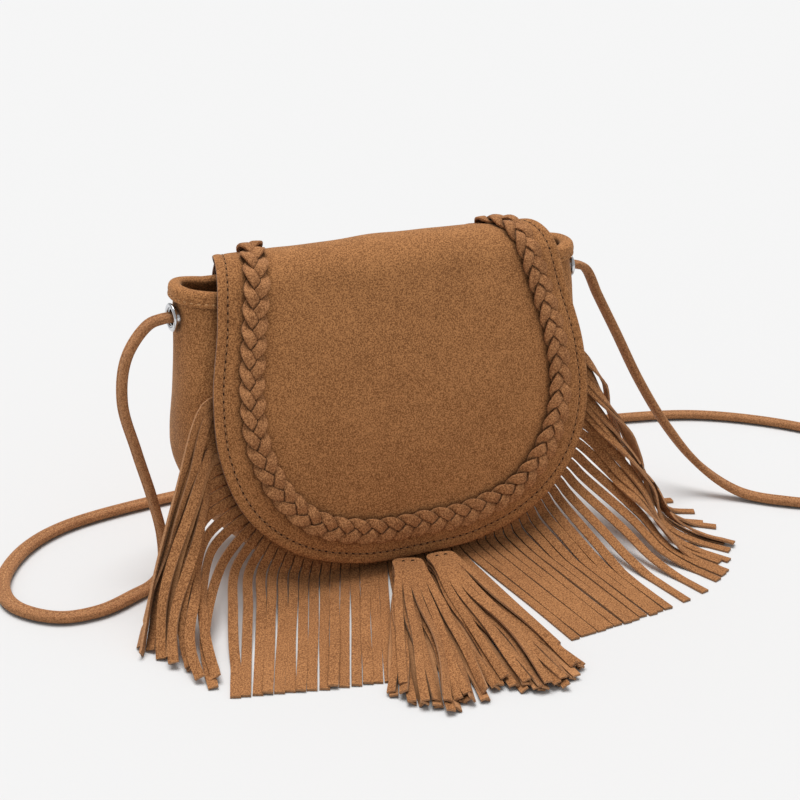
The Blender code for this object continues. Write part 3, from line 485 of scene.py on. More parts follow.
def body_loop(z, inset, sides, ends, drop=0.0):
    """The body's outline in plan at a height, moved in by the inset."""
    low = max(z - drop, 0.0)
    half = float(seam_half_width(low))
    wide = max(float(middle_half_width(min(low, RIM_Z))), half + 1.0)
    y0 = float(front_y(z)) + inset
    y1 = float(back_y(z)) - inset
    around = np.linspace(0, math.pi, ends + 1)[1:-1]
    rise = np.sin(around) ** (2 / 3)
    end_x = half + (wide - half - inset) * rise
    end_y = (y1 - y0) / 2 * np.cos(around)
    right = np.stack([end_x, (y0 + y1) / 2 - end_y], axis=1)
    front = np.stack([np.linspace(-half, half, sides), np.full(sides, y0)], axis=1)
    back = np.stack([np.linspace(half, -half, sides), np.full(sides, y1)], axis=1)
    left = np.stack([-end_x, (y0 + y1) / 2 + end_y], axis=1)
    return np.concatenate([front, right, back, left])


def rim_lift(x):
    return RIM_RISE_AT_ENDS * np.clip((np.abs(x) - RIM_HALF_WIDTH) / 19.0, 0, 1)


def rings_shell(outer, inner, name, materials):
    """A bag of cloth from rings of points, closed at the bottom and hemmed at the top."""
    levels, around = outer.shape[:2]
    points = np.concatenate([outer.reshape(-1, 3), inner.reshape(-1, 3)])
    shift = levels * around
    wall = wall_faces(levels, around)
    top = (levels - 1) * around + np.arange(around)
    hem = np.stack([top, np.roll(top, -1), np.roll(top, -1) + shift, top + shift], axis=1)
    faces = np.concatenate([wall, wall[:, ::-1] + shift, hem]).tolist()
    faces.append(list(range(around - 1, -1, -1)))
    faces.append([shift + c for c in range(around)])
    return made(name, points, faces, materials)


lining_levels = np.concatenate([[4.5, 6.0, 8.0, 11.0], np.linspace(15, 139, 42), [141.0, 143.0, RIM_Z]])
rings_out = []
rings_in = []
for z in lining_levels:
    loose = 1.6 * np.clip((139 - z) / 20, 0, 1)
    drop = 4.0 * np.clip((112 - z) / 40, 0, 1)
    outline = body_loop(z, LEATHER + LINING_GAP + loose, 60, 30, drop)
    around = np.linspace(0, 1, len(outline), endpoint=False)
    round_bag = 2 * math.pi * around
    wrinkle = np.stack([np.cos(round_bag) * 70, np.sin(round_bag) * 70, around * 0 + z * 0.8], axis=1)
    fold = 0.5 + 0.5 * ripple(wrinkle, 38, 8)
    fold = np.clip(fold, 0, 1.4) * LINING_FOLD_DEPTH * np.clip((141 - z) / 30, 0, 1) * np.clip(z / 25, 0, 1)
    way_in = unit(np.array([0.0, 15.0]) - outline) * (0.35, 1.0)
    outer = outline + way_in * fold[:, None]
    inner = body_loop(z, LEATHER + LINING_GAP + loose + CLOTH, 60, 30, drop) + way_in * fold[:, None]
    lift = rim_lift(outer[:, 0]) * np.clip((z - 137) / 8, 0, 1)
    floor_lift = CLOTH if z == lining_levels[0] else 0.0
    rings_out.append(np.column_stack([outer, z + lift]))
    rings_in.append(np.column_stack([inner, z + lift + floor_lift]))
lining_bag = rings_shell(np.array(rings_out), np.array(rings_in), "lining_bag", [lining_cloth])
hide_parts("lining")
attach(lining_bag, "bag")

# Fringe
# One strip of suede, cut like a comb and sewn by its header into the front seam from rim to rim.
# Each cut strip falls to the floor and lies there. The strips at both sides crowd together and twist.
STRIP_PITCH = 5.3
STRIP_WIDTH = 4.8
STRIP_THICKNESS = 1.1
STRIP_COUNT = 62
HEADER_WIDTH = 8.0
STATIONS = 36
# Where the strips end on the floor, as (strip number, x, y)
FRINGE_ENDS = (
    (0, -161, -68), (1, -157, -54), (3, -157, -62), (6, -151, -76), (9, -144, -88), (12, -136, -102),
    (12.5, -136, -105), (13, -134, -114), (20, -101, -123), (27, -66, -131), (32, -14, -135), (36, 33, -134),
    (47, 91, -128), (48, 106, -126), (49, 119, -121), (50, 134, -115), (53, 147, -101), (56, 160, -86),
    (58, 166, -70), (60, 168, -42), (61, 167, -26),
)
# How far the strips swing out near the two lower corners, as (strip number, distance, spread)
CORNER_SWINGS = ((10.8, 12.0, 3.3), (51.0, 5.0, 3.0))
LEFT_BUNDLE_END = 13
LEFT_BUNDLE_BOW = 7.0
RIGHT_BUNDLE_START = 48
FLOOR_LEVEL = STRIP_THICKNESS / 2 + 0.1
LOWEST_EDGE = 0.15
SEWN_ON_GAP = 0.45
suede_strip = suede("suede_strip", (0.510, 0.232, 0.089), (0.205, 0.080, 0.027))
suede_flesh = suede("suede_flesh_side", (0.60, 0.292, 0.125), (0.34, 0.150, 0.058), speck=0.7)
suede_cut = suede("suede_cut_edge", (0.56, 0.29, 0.14), (0.30, 0.14, 0.065), speck=0.5)


def strip_bundle(name, paths, across, up, width, thickness, cup, turned_over):
    """Strips with a slightly rounded face. Those turned over show their flesh side."""
    spread = np.linspace(-1, 1, 5)[:, None]
    bow = cup * (spread**2 - 0.4)
    flat = paths[:, :, None] + across[:, :, None] * (spread * width / 2)
    top = flat + up[:, :, None] * (bow + thickness / 2)
    low = flat + up[:, :, None] * (bow - thickness / 2)
    rings = np.concatenate([top, low[:, :, ::-1]], axis=2)
    finishes = []
    for number in range(len(rings)):
        face, back = (1, 0) if number in turned_over else (0, 1)
        finishes += ([face] * 4 + [2] + [back] * 4 + [2]) * (rings.shape[1] - 1) + [2, 2]
    return made(name, *many_tubes(rings), [suede_strip, suede_flesh, suede_cut], finishes, sharp=40)


def strip_ripple(progress, shift, lane, span, seed):
    """Unevenness along one strip. Shift and lane tell the strips apart."""
    return ripple(np.stack([progress * 90 + shift, progress * 0 + lane], axis=1), span, seed)


fringe_line, fringe_out = seam_points(2401)
fringe_length = path_length(fringe_line)
length_at = np.linspace(0, fringe_length, len(fringe_line))
strip_middle = fringe_length / 2 + STRIP_PITCH * (np.arange(STRIP_COUNT) + 0.5 - STRIP_COUNT / 2)
root_x, root_z = read_off(strip_middle, length_at, fringe_line).T
root_out = unit(read_off(strip_middle, length_at, fringe_out))
leaving = np.stack([root_out[:, 0], 0 * root_x, root_out[:, 1]], axis=1)
root_y = front_y(root_z) - SEWN_ON_GAP - STRIP_THICKNESS / 2
roots = np.stack([root_x, root_y, root_z], axis=1) - leaving * 0.5
ends = np.array(FRINGE_ENDS, float)
strip_ends = read_off(np.arange(STRIP_COUNT), ends[:, 0], ends[:, 1:])
past_flap = 4.5 + 8.0 * np.abs(leaving[:, 0]) ** 1.5
fringe_chance = np.random.default_rng(11)
paths = []
for i in range(STRIP_COUNT):
    root, out, past = roots[i], leaving[i], past_flap[i]
    on_left = min(max((LEFT_BUNDLE_END + 1 - i) / 3, 0.0), 1.0)
    on_right = min(max((i - RIGHT_BUNDLE_START + 1) / 8, 0.0), 1.0)
    loose_end = 0.3 + 1.9 * (i < LEFT_BUNDLE_END or i >= RIGHT_BUNDLE_START)
    jitter = fringe_chance.normal(size=2) * loose_end
    end = np.array([*(strip_ends[i] + jitter), FLOOR_LEVEL])
    height = root[2]
    for corner, distance, width in CORNER_SWINGS:
        past = past + distance * math.exp(-(((i - corner) / width) ** 2))
    drop = (0.45 - 0.38 * on_left) * past * abs(out[0])
    clear = root + out * past + np.array([0.0, -0.22 * past, -drop])
    clear[2] = max(clear[2], FLOOR_LEVEL)
    bent = root * 0.55 + clear * 0.45 + np.array([0, -0.4, 0.10 * past * abs(out[0])])
    control = [root - out * 1.5, root, bent, clear]
    if i < LEFT_BUNDLE_END:
        for part in (0.3, 0.6, 0.85):
            point = clear * (1 - part) + end * part
            point[0] -= LEFT_BUNDLE_BOW * math.sin(math.pi * part)
            point[2] = FLOOR_LEVEL + (clear[2] - FLOOR_LEVEL) * (1 - part) ** 1.35
            control.append(point)
        control.append(end)
    else:
        lands = np.clip(height / 42, 0.10, 0.86)
        touch = np.array([*(clear[:2] * (1 - lands) + end[:2] * lands), FLOOR_LEVEL])
        halfway = clear * 0.55 + touch * 0.45 + np.array([-5 * on_left, 0, 4 * on_left - 0.05 * clear[2]])
        low = clear * 0.25 + touch * 0.75 + np.array([-4 * on_left - 7 * on_right, 0, -6 * on_right])
        low[2] = max(low[2], FLOOR_LEVEL)
        if height > 12:
            control.append(halfway)
        if height > 30:
            control.append(low)
        control += [touch, touch * 0.5 + end * 0.5, end]
    paths.append(evenly(smooth(control, 140), STATIONS))
paths = np.array(paths)
paths[:, :, 2] = np.maximum(paths[:, :, 2], FLOOR_LEVEL)
along = unit(np.gradient(paths, axis=1))
beside = np.gradient(paths, axis=0)
beside = beside - along * (beside * along).sum(axis=2, keepdims=True)
room = np.linalg.norm(beside, axis=2)
beside = unit(beside)
look = np.zeros_like(paths)
look[:, :, 1] = -1.0
look[:, 2:, 2] = 1.0
over = towards(look, np.cross(along, beside))
progress = np.linspace(0, 1, STATIONS)
number = np.arange(STRIP_COUNT)[:, None]
crowding = np.clip(1 - (room - 0.3) / STRIP_WIDTH, 0, 1)
away = np.minimum(progress * 3, 1)
wander = np.stack([strip_ripple(progress, i * 500.0, i * 91.0, 75, 300) for i in range(STRIP_COUNT)])
twist = np.stack([strip_ripple(progress, i * 700.0, i * 37.0, 110, 400) for i in range(STRIP_COUNT)])
sideways = wander * away * (0.30 + 2.0 * crowding)
stacked = away * np.minimum(crowding * 3, 1) * ((number * 2) % 3 * 1.9 + np.abs(twist) * 0.9)
paths = paths + beside * sideways[:, :, None] + over * stacked[:, :, None]
flat_tilt = fringe_chance.normal(size=(STRIP_COUNT, 1)) * 0.05
turned = np.where(number >= RIGHT_BUNDLE_START, -0.75, 0.35)
turned = turned + fringe_chance.normal(size=(STRIP_COUNT, 1)) * 0.2
hangs = np.clip((paths[:, :, 2] - 1) / 14, 0.2, 1)
lean = turned * np.minimum(crowding * 2.5, 1) * away * hangs
lean = lean + flat_tilt * away + twist * progress * (0.04 + 0.4 * crowding)
side_way = beside * np.cos(lean)[:, :, None] + over * np.sin(lean)[:, :, None]
thick_way = towards(look, unit(np.cross(along, side_way)))
reach_down = np.abs(side_way[:, :, 2]) * STRIP_WIDTH / 2 + np.abs(thick_way[:, :, 2]) * STRIP_THICKNESS / 2
paths[:, 2:, 2] += np.maximum(LOWEST_EDGE - (paths[:, :, 2] - reach_down), 0.0)[:, 2:]
fringe_strips = strip_bundle(
    "fringe_strips", paths, side_way, thick_way, STRIP_WIDTH, STRIP_THICKNESS, cup=-0.18, turned_over=(5,))
header_at = np.linspace(strip_middle[0] - STRIP_WIDTH / 2, strip_middle[-1] + STRIP_WIDTH / 2, 260)
header_inwards = np.array([0.5, 3.0, 6.0, 0.5 + HEADER_WIDTH])[:, None]
header_out = read_off(header_at, length_at, fringe_out)[:, None]
header_xz = read_off(header_at, length_at, fringe_line)[:, None] - header_out * header_inwards
header_y = front_y(header_xz[:, :, 1]) - SEWN_ON_GAP
header_under = np.stack([header_xz[:, :, 0], header_y, header_xz[:, :, 1]], axis=2)
fringe_header = slab("fringe_header", header_under - (0, STRIP_THICKNESS, 0), header_under, [suede_strip])
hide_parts("fringe_band")
for piece in (fringe_strips, fringe_header):
    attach(piece, "bag")

# Mouth binding
# A strip of the same suede, folded over the raw rim of panels and lining.
# It is stitched through along its lower edge.
BINDING_LEG = 4.8
BINDING_STITCH_PITCH = 3.6
rim = body_loop(RIM_Z, 0.0, 90, 50)
rim_points = np.column_stack([rim, RIM_Z + rim_lift(rim[:, 0])])
rim_along = unit(np.roll(rim, -1, axis=0) - np.roll(rim, 1, axis=0))
rim_out = np.stack([rim_along[:, 1], -rim_along[:, 0]], axis=1)
below = body_loop(RIM_Z - BINDING_LEG, 0.0, 90, 50)
spread = ((below - rim) * rim_out).sum(axis=1) / BINDING_LEG
OUT, IN = 2.1, 4.6
section = [
    (OUT - 0.5, -BINDING_LEG), (OUT - 0.1, -BINDING_LEG + 0.5), (OUT, -3.7), (OUT - 0.45, -3.1), (OUT, -2.5),
    (OUT + 0.25, -1.2),
]
section += [
    ((OUT - IN) / 2 + (OUT + IN + 0.2) / 2 * math.cos(a), 0.1 + 2.3 * math.sin(a))
    for a in np.radians(np.linspace(8, 172, 12))
]
section += [
    (-IN - 0.1, -1.2), (-IN, -3.0), (-IN + 0.1, -BINDING_LEG), (-IN + 0.9, -BINDING_LEG), (-IN + 1.2, -0.1),
    (OUT - 1.3, -0.1), (OUT - 1.2, -BINDING_LEG),
]
section_out, section_up = np.array(section).T


def swept(name, rings, materials, closed=False, sharp=60):
    """A solid through rings of points, capped at both ends or joined into a loop."""
    rings = np.asarray(rings, float)
    faces = tube_faces(*rings.shape[:2], closed)
    return made(name, rings.reshape(-1, 3), faces, materials, sharp=sharp)


plump = 1 + 0.10 * ripple(rim_points, 30, 51)
reach = section_out * np.where(section_up > -2.8, plump[:, None], 1.0)
reach = reach - spread[:, None] * np.minimum(section_up, 0)
rings = np.empty((len(rim), len(section), 3))
rings[:, :, :2] = rim_points[:, None, :2] + rim_out[:, None] * reach[:, :, None]
rings[:, :, 2] = rim_points[:, None, 2] + section_up + 0.25 * ripple(rim_points, 22, 52)[:, None]
binding_roll = swept("binding_roll", rings, [suede_brown], closed=True)
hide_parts("mouth_binding")

thread_dye = suede("sewing_thread", (0.80, 0.46, 0.22), (0.50, 0.25, 0.10), speck=0.3)
seam_dye = suede("seam_thread", (0.52, 0.27, 0.12), (0.30, 0.13, 0.05), speck=0.3)
# Painted shade: the near-black colour of the needle holes stands in for the shade inside them.
painted_hole_shade = suede("needle_hole_shade", (0.055, 0.022, 0.010), (0.025, 0.010, 0.005), speck=0.2)


def stitches(name, centres, directions, up, length, radius, material, sink=0.0):
    """Short rounded threads lying along a seam, one at each centre, their ends dipping into the suede."""
    stations = np.linspace(-1, 1, 7)
    fat = np.sqrt(np.clip(1 - np.abs(stations) ** 2.6, 0.04, 1))
    dip = -0.9 * radius * np.abs(stations) ** 3
    turns = np.radians(np.arange(0, 360, 60))[:, None]
    side = np.cross(directions, up)
    circle = side[:, None] * np.cos(turns) + up[:, None] * np.sin(turns)
    middle = centres[:, None] + directions[:, None] * (stations * length / 2)[:, None]
    middle = middle + up[:, None] * (dip - sink)[:, None]
    rings = middle[:, :, None] + circle[:, None] * (radius * fat)[:, None, None]
    return made(name, *many_tubes(rings), [material], sharp=80)


binding_row = rings[:, 3]
binding_loop = np.vstack([binding_row, binding_row[:1]])
stitch_count = int(path_length(binding_loop) / BINDING_STITCH_PITCH)
centres = evenly(binding_loop, stitch_count + 1)
ways = unit(np.diff(centres, axis=0))
centres = (centres[:-1] + centres[1:]) / 2
facing = towards(centres - (0.0, 18.0, 140.0), unit(np.cross(ways, (0, 0, 1))))
binding_thread = stitches("binding_thread", centres, ways, facing, 2.2, 0.40, thread_dye, sink=-0.12)
for piece in (binding_roll, binding_thread):
    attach(piece, "bag")

# Eyelets
# A two-part eyelet of polished steel at each end of the mouth: a rolled face outside, a flat washer inside.
EYELET_Y = 17.6
EYELET_Z = 133.5
steel, tree, steel_shader = new_material("polished_steel")
steel_place = node(tree, "ShaderNodeTexCoord").outputs["Object"]
smear = node(tree, "ShaderNodeTexNoise", Vector=steel_place, Scale=420.0, Detail=3.0)
gloss = node(tree, "ShaderNodeMapRange", Value=smear.outputs["Fac"], To_Min=0.12, To_Max=0.30)
tree.links.new(gloss.outputs["Result"], steel_shader.inputs["Roughness"])
steel_shader.inputs["Base Color"].default_value = (0.66, 0.67, 0.69, 1)
steel_shader.inputs["Metallic"].default_value = 1.0


def turned_ring(name, profile, centre, sign):
    """A ring turned about an axis along X. The profile holds (distance out of the bag, radius)."""
    turns = np.linspace(0, 2 * math.pi, 72, endpoint=False)
    x, y, z = centre
    rings = []
    for a in turns:
        rings.append([(x + sign * out, y + r * math.cos(a), z + r * math.sin(a)) for out, r in profile])
    return swept(name, rings, [steel], closed=True, sharp=35)


for label, sign in (("left", -1.0), ("right", 1.0)):
    centre = (sign * float(middle_half_width(EYELET_Z)), EYELET_Y, EYELET_Z)
    bends = np.radians(np.linspace(-10, 190, 14))
    roll = [(1.15 + 0.95 * math.sin(a), 5.9 - 1.15 * math.cos(a)) for a in bends]
    profile = [(0.3, 6.6), (0.3, 4.7), (-5.9, 4.7), (-5.9, 4.1), (0.8, 4.1)] + roll
    eyelet = turned_ring(f"eyelet_{label}_rolled", profile, centre, sign)
    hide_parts(f"eyelet_{label}")
    profile = [(-5.7, 5.05), (-5.7, 5.8), (-5.5, 6.0), (-5.2, 6.0), (-5.0, 5.8), (-5.0, 5.05)]
    washer = turned_ring(f"washer_{label}_flat", profile, centre, sign)
    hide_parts(f"eyelet_washer_{label}")
    for piece in (eyelet, washer):
        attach(piece, "bag")

# Lace and its loop
# A leather loop is sewn to the front panel behind the flap.
# One thin suede lace runs through it and down to a tassel at each end.
LACE_RADIUS = 0.9
LOOP_LOW, LOOP_HIGH = 26.0, 44.0
LOOP_HALF_WIDTH = 4.0
LOOP_THICKNESS = 1.0
LOOP_BOW = 2.8
# Each tassel as (side, head's x and y, end's x and y, spread of the ends)
TASSELS = (("left", -11.5, -42.5, -52.0, -163.0, 48.0), ("right", 6.0, -43.5, -3.0, -168.0, 44.0))
half_lace = []
for label, hx, hy, ex, ey, fan in TASSELS:
    sign = math.copysign(1.0, hx)
    half_lace.append([
        (hx, hy + 0.9, 6.2), (hx, hy + 2.6, 5.2), (hx * 0.95, -37.8, 4.8), (hx * 0.85, -34.4, 5.5),
        (hx * 0.75, -32.6, 9.0), (sign * 6.8, float(front_y(20)) - 4.4, 20),
        (sign * 7.4, float(front_y(30)) - 2.6, 30.5),
    ])
loop_y = float(front_y((LOOP_LOW + LOOP_HIGH) / 2))
through = [(-4.6, loop_y - 1.5, 34.7), (0.0, loop_y - 1.45, 35.0), (4.6, loop_y - 1.5, 34.7)]
lace_path = smooth(half_lace[0] + through + half_lace[1][::-1], 160)


def squared(values, power):
    """A sine or cosine flattened towards a squarer form."""
    return np.sign(values) * np.abs(values) ** power


def tube(name, path, section, materials, first_up):
    """A piece of one section, given as (across, up) points, swept along a path."""
    ways = unit(np.gradient(path, axis=0))
    up = np.asarray(first_up, float)
    rings = []
    for centre, way in zip(path, ways):
        up = unit(up - way * (up @ way))
        side = np.cross(way, up)
        rings.append(centre + section[:, :1] * side + section[:, 1:] * up)
    return swept(name, rings, materials)


circle = np.radians(np.arange(0, 360, 30))
lace_section = np.stack([np.cos(circle), np.sin(circle)], axis=1) * LACE_RADIUS
lace = tube("lace_cord", lace_path, lace_section, [suede_strip], (1, 0, 0))
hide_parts("tassel_lace")
upper = []
lower = []
for share in np.linspace(0, 1, 41):
    z = LOOP_LOW + share * (LOOP_HIGH - LOOP_LOW)
    bow = LOOP_BOW * max(math.sin(math.pi * share), 0.0) ** 0.7
    y = float(front_y(z)) - 0.35 - bow
    loop_x = np.linspace(-LOOP_HALF_WIDTH, LOOP_HALF_WIDTH, 7)
    lower.append([(x, y, z) for x in loop_x])
    upper.append([(x, y - LOOP_THICKNESS + 0.12 * (x / LOOP_HALF_WIDTH) ** 4, z) for x in loop_x])
loop = slab("loop_leather", np.array(upper), np.array(lower), [suede_brown, suede_cut], rim=1)
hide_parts("lace_loop")
for piece in (lace, loop):
    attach(piece, "bag")

# Tassels
# Each is a short comb of suede folded over the lace and stitched through its rounded head.
# Its strips lie in layers.
HEAD_WIDTH = 16.0
HEAD_LENGTH = 15.0
HEAD_LOW = 2.2
HEAD_HIGH = 10.2
TASSEL_STRIP = 4.1
TASSEL_THICKNESS = 1.0
LAYER_STEP = 0.7
LAYER_STRIPS = (8, 7, 6, 5)
LAYER_FAN = (1.0, 0.96, 0.90, 0.80)
LAYER_LEVELS = np.linspace(HEAD_LOW + 0.9, HEAD_HIGH - 0.5, 4)
gone = np.linspace(0, 1, 26)
leaf_run = gone**1.5 * (HEAD_LENGTH - 6.5)
leaf_round = np.sqrt(np.maximum(1 - (1 - np.minimum(leaf_run / 5.0, 1)) ** 2, 0))
leaf_half = HEAD_WIDTH / 2 * (0.34 + 0.66 * leaf_round)
leaf_across = np.linspace(-1, 1, 9)
leaf_droop = 0.25 * leaf_across**4 + 0.5 * (1 - np.minimum(leaf_run / 2.5, 1))[:, None] ** 2
tassel_chance = np.random.default_rng(29)
for label, hx, hy, ex, ey, fan in TASSELS:
    head = np.array([hx, hy])
    way = unit(np.array([ex, ey]) - head)
    side = np.array([-way[1], way[0]])
    flat_side = np.array([*side, 0.0])
    length = float(np.linalg.norm(np.array([ex, ey]) - head))
    paths = []
    ups = []
    sides = []
    for layer, (level, count, narrow) in enumerate(zip(LAYER_LEVELS, LAYER_STRIPS, LAYER_FAN)):
        for k in range(count):
            place = k / (count - 1) - 0.5
            share = place + tassel_chance.normal() * 0.02
            root = head + way * (HEAD_LENGTH - 9.0) + side * (HEAD_WIDTH - TASSEL_STRIP) * place
            reach = length * (1 - 0.10 * (2 * share) ** 2) + tassel_chance.normal() * 2.0
            tip = head + way * reach + side * fan * narrow * share
            rest = 1.4 + 1.25 * layer + 0.7 * tassel_chance.random()
            control = [
                (*root, level),
                (*(root + way * 7), level),
                (*(root * 0.72 + tip * 0.28), max(rest + 0.9, level * 0.72)),
                (*(root * 0.38 + tip * 0.62), rest + 0.4 + 0.8 * tassel_chance.random()),
                (*tip, rest - 0.3),
            ]
            path = evenly(smooth(control, 120), len(gone))
            bend = strip_ripple(gone, k * 300, layer * 50, 70, 500 + k)
            path[:, :2] += side * (bend * np.minimum(gone * 2, 1) * 2.2)[:, None]
            ahead = unit(np.gradient(path, axis=0))
            across = unit(flat_side - ahead * (ahead @ flat_side)[:, None])
            up = unit(np.cross(across, ahead))
            up *= np.sign(up[:, 2:])
            turn = strip_ripple(gone, k * 900, layer * 70, 120, 600 + k + 10 * layer) * gone * 0.8
            turn = (turn + tassel_chance.normal() * 0.16 * np.minimum(gone * 4, 1))[:, None]
            side_way = across * np.cos(turn) + up * np.sin(turn)
            thick_way = up * np.cos(turn) - across * np.sin(turn)
            lowest = path[:, 2] - np.abs(side_way[:, 2]) * TASSEL_STRIP / 2
            lowest = lowest - np.abs(thick_way[:, 2]) * TASSEL_THICKNESS / 2
            path[:, 2] += np.maximum(LOWEST_EDGE - lowest, 0)
            paths.append(path)
            sides.append(side_way)
            ups.append(thick_way)
    lower_layer = set(range(LAYER_STRIPS[0])) | {10, 13}
    paths, sides, ups = np.array(paths), np.array(sides), np.array(ups)
    name = f"tassel_{label}_strips"
    strips = strip_bundle(
        name, paths, sides, ups, TASSEL_STRIP, TASSEL_THICKNESS, cup=-0.15, turned_over=lower_layer)
    leaves = []
    leaf_faces = []
    leaf_finishes = []
    flat_faces, edge_faces = sheet_faces(len(leaf_run), len(leaf_across))
    for layer, level in enumerate(LAYER_LEVELS):
        run = leaf_run + LAYER_STEP * (len(LAYER_LEVELS) - 1 - layer)
        xy = head + way * run[:, None, None] + side * (leaf_half[:, None] * leaf_across)[:, :, None]
        leaf_faces += (np.concatenate([flat_faces, edge_faces]) + len(leaves)).tolist()
        leaf_finishes += [0] * len(flat_faces) + [1] * len(edge_faces)
        for half_thick in (TASSEL_THICKNESS / 2, -TASSEL_THICKNESS / 2):
            z = (level + half_thick - leaf_droop)[:, :, None]
            leaves += np.concatenate([xy, z], axis=2).reshape(-1, 3).tolist()
    head_leaves = made(
        f"tassel_{label}_head", leaves, leaf_faces, [suede_strip, suede_cut], leaf_finishes, sharp=40)
    dots = np.array([[*(head + way * 4.4 + side * s), HEAD_HIGH + 0.12] for s in (-2.4, 2.4)])
    dots_way = np.array([flat_side] * 2)
    dots_up = np.array([[0.0, 0.0, 1.0]] * 2)
    # Each head's two stitch marks are drawn with the near-black needle-hole colour, painted shade.
    thread = stitches(f"tassel_{label}_thread", dots, dots_way, dots_up, 2.2, 0.42, painted_hole_shade)
    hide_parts(f"tassel_{label}")
    for piece in (strips, head_leaves, thread):
        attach(piece, "bag")

# Flap and its lining
# One round-ended piece of suede backed with cloth, sewn to the back panel and folded over the mouth.
# A row of stitches holds both layers 5 mm inside the cut edge, and the sewn-on braid presses a bed into it.
FLAP_SUEDE = 1.2
FLAP_TAIL = 17.0
FLAP_TAIL_HALF_WIDTH = 85.0
STITCH_INSET = 5.0
# Distances from the flap's centre to its edge and to the braid, as (degrees from the front, distance)
FLAP_RADII = (
    (0, FLAP_FRONT_RADIUS), (22, 100.4), (42, 107.7), (58, 110.8), (74, 108.8), (90, 105.1), (108, 104.0),
    (124, 113.1), (138, 126.6),
)
BRAID_RADII = (
    (0, 77.7), (22, 82.5), (42, 89.4), (58, 90.4), (74, 89.2), (90, 86.4), (108, 86.4), (124, 92.6),
    (138, 104.9),
)
BRAID_OVER_FOLD = ((66.5, -14.0), (61.5, -25.0), (58.6, -33.0), (57.8, -38.0))


def round_flap(radii, angles):
    """(x, s) points of a line round the flap from its centre."""
    known = smooth(np.array([(-a, r) for a, r in radii[:0:-1]] + list(radii), float), 1200)
    r = np.interp(np.abs(angles), known[:, 0], known[:, 1])
    return np.stack([r * np.sin(np.radians(angles)), FLAP_CENTRE + r * np.cos(np.radians(angles))], axis=1)


TAIL_END = FOLD_BACK - FLAP_TAIL
FLAP_MIDDLE = np.array([0.0, FLAP_CENTRE])
edge_right = np.vstack([[(FLAP_TAIL_HALF_WIDTH, TAIL_END)], round_flap(FLAP_RADII, np.linspace(138, 0, 300))])
edge_right = evenly(edge_right, 210)
edge_sides = np.vstack([edge_right, (edge_right[:-1] * (-1, 1))[::-1]])
edge_tail = evenly(np.array([edge_sides[-1], edge_sides[0]]), 72)[1:-1]
flap_outline = np.vstack([edge_sides, edge_tail])
braid_right = np.vstack([np.array(BRAID_OVER_FOLD[::-1]), round_flap(BRAID_RADII, np.linspace(138, 0, 60))])
braid_line = smooth(np.vstack([braid_right[:-1], (braid_right * (-1, 1))[::-1]])[::3], 1400)


def nearest(points, line):
    """How far each flap point (x, s) is from a line."""
    found = np.empty(len(points))
    for start in range(0, len(points), 4000):
        part = points[start : start + 4000]
        found[start : start + 4000] = np.sqrt(((part[:, None] - line[None]) ** 2).sum(axis=2)).min(axis=1)
    return found


def flap_rise(points):
    """How far the flap's face stands off its even section: soft hills, the groove, the braid's bed."""
    from_edge = nearest(points, flap_outline)
    from_braid = nearest(points, braid_line[::3])
    groove = -0.42 * np.exp(-(((from_edge - STITCH_INSET) / 0.75) ** 2))
    roll = 0.22 * np.exp(-(((from_edge - 2.4) / 1.4) ** 2)) - 0.5 * np.clip(1 - from_edge / 1.1, 0, 1) ** 2
    bed = -0.55 * np.exp(-((from_braid / 7.0) ** 2))
    swell = 0.75 * np.clip((from_edge - STITCH_INSET) / 9, 0, 1)
    hills = 0.45 * ripple(points, 85, 71) + 0.35 * ripple(points, 34, 72)
    free = np.clip((points[:, 1] - FOLD_BACK + 4) / 22, 0, 1)
    return groove + roll + free * (bed + swell + hills * np.clip(from_edge / 14, 0.25, 1))


def on_flap(points, depth):
    """Flap points (x, s) at a depth under the even section, as x, y, z."""
    y, z = flap_section(points[:, 1], depth)
    return np.stack([points[:, 0], y, z], axis=1)


def flap_sheet(name, inset, depth, thickness, insets, inner_rings, materials, rim, under):
    """A layer of the flap: rings of points that follow its edge, then shrink to its middle."""
    way = unit(np.roll(flap_outline, -1, axis=0) - np.roll(flap_outline, 1, axis=0))
    inwards = towards(FLAP_MIDDLE - flap_outline, np.stack([-way[:, 1], way[:, 0]], axis=1))
    rings = [flap_outline + inwards * (inset + d) for d in insets]
    last = rings[-1]
    rings += [FLAP_MIDDLE + (last - FLAP_MIDDLE) * t for t in np.linspace(1, 0, inner_rings + 1)[1:-1]]
    count, around = len(rings), len(flap_outline)
    flat = np.concatenate(rings + [FLAP_MIDDLE[None]])
    rise = flap_rise(flat)
    upper = on_flap(flat, depth - rise)
    lower = on_flap(flat, depth + thickness - np.maximum(rise, -0.3))
    shift = len(flat)
    top = wall_faces(count, around)
    last_ring = (count - 1) * around + np.arange(around)
    fan = np.stack([last_ring, np.roll(last_ring, -1), np.full(around, shift - 1)], axis=1)
    rim_a = np.arange(around)
    rim_b = np.roll(rim_a, -1)
    edge = np.stack([rim_b, rim_a, rim_a + shift, rim_b + shift], axis=1)
    faces = top.tolist() + fan.tolist() + (top[:, ::-1] + shift).tolist() + (fan[:, ::-1] + shift).tolist()
    finishes = [0] * (len(top) + len(fan)) + [under] * (len(top) + len(fan)) + [rim] * len(edge)
    return made(name, np.concatenate([upper, lower]), faces + edge.tolist(), materials, finishes, sharp=40)


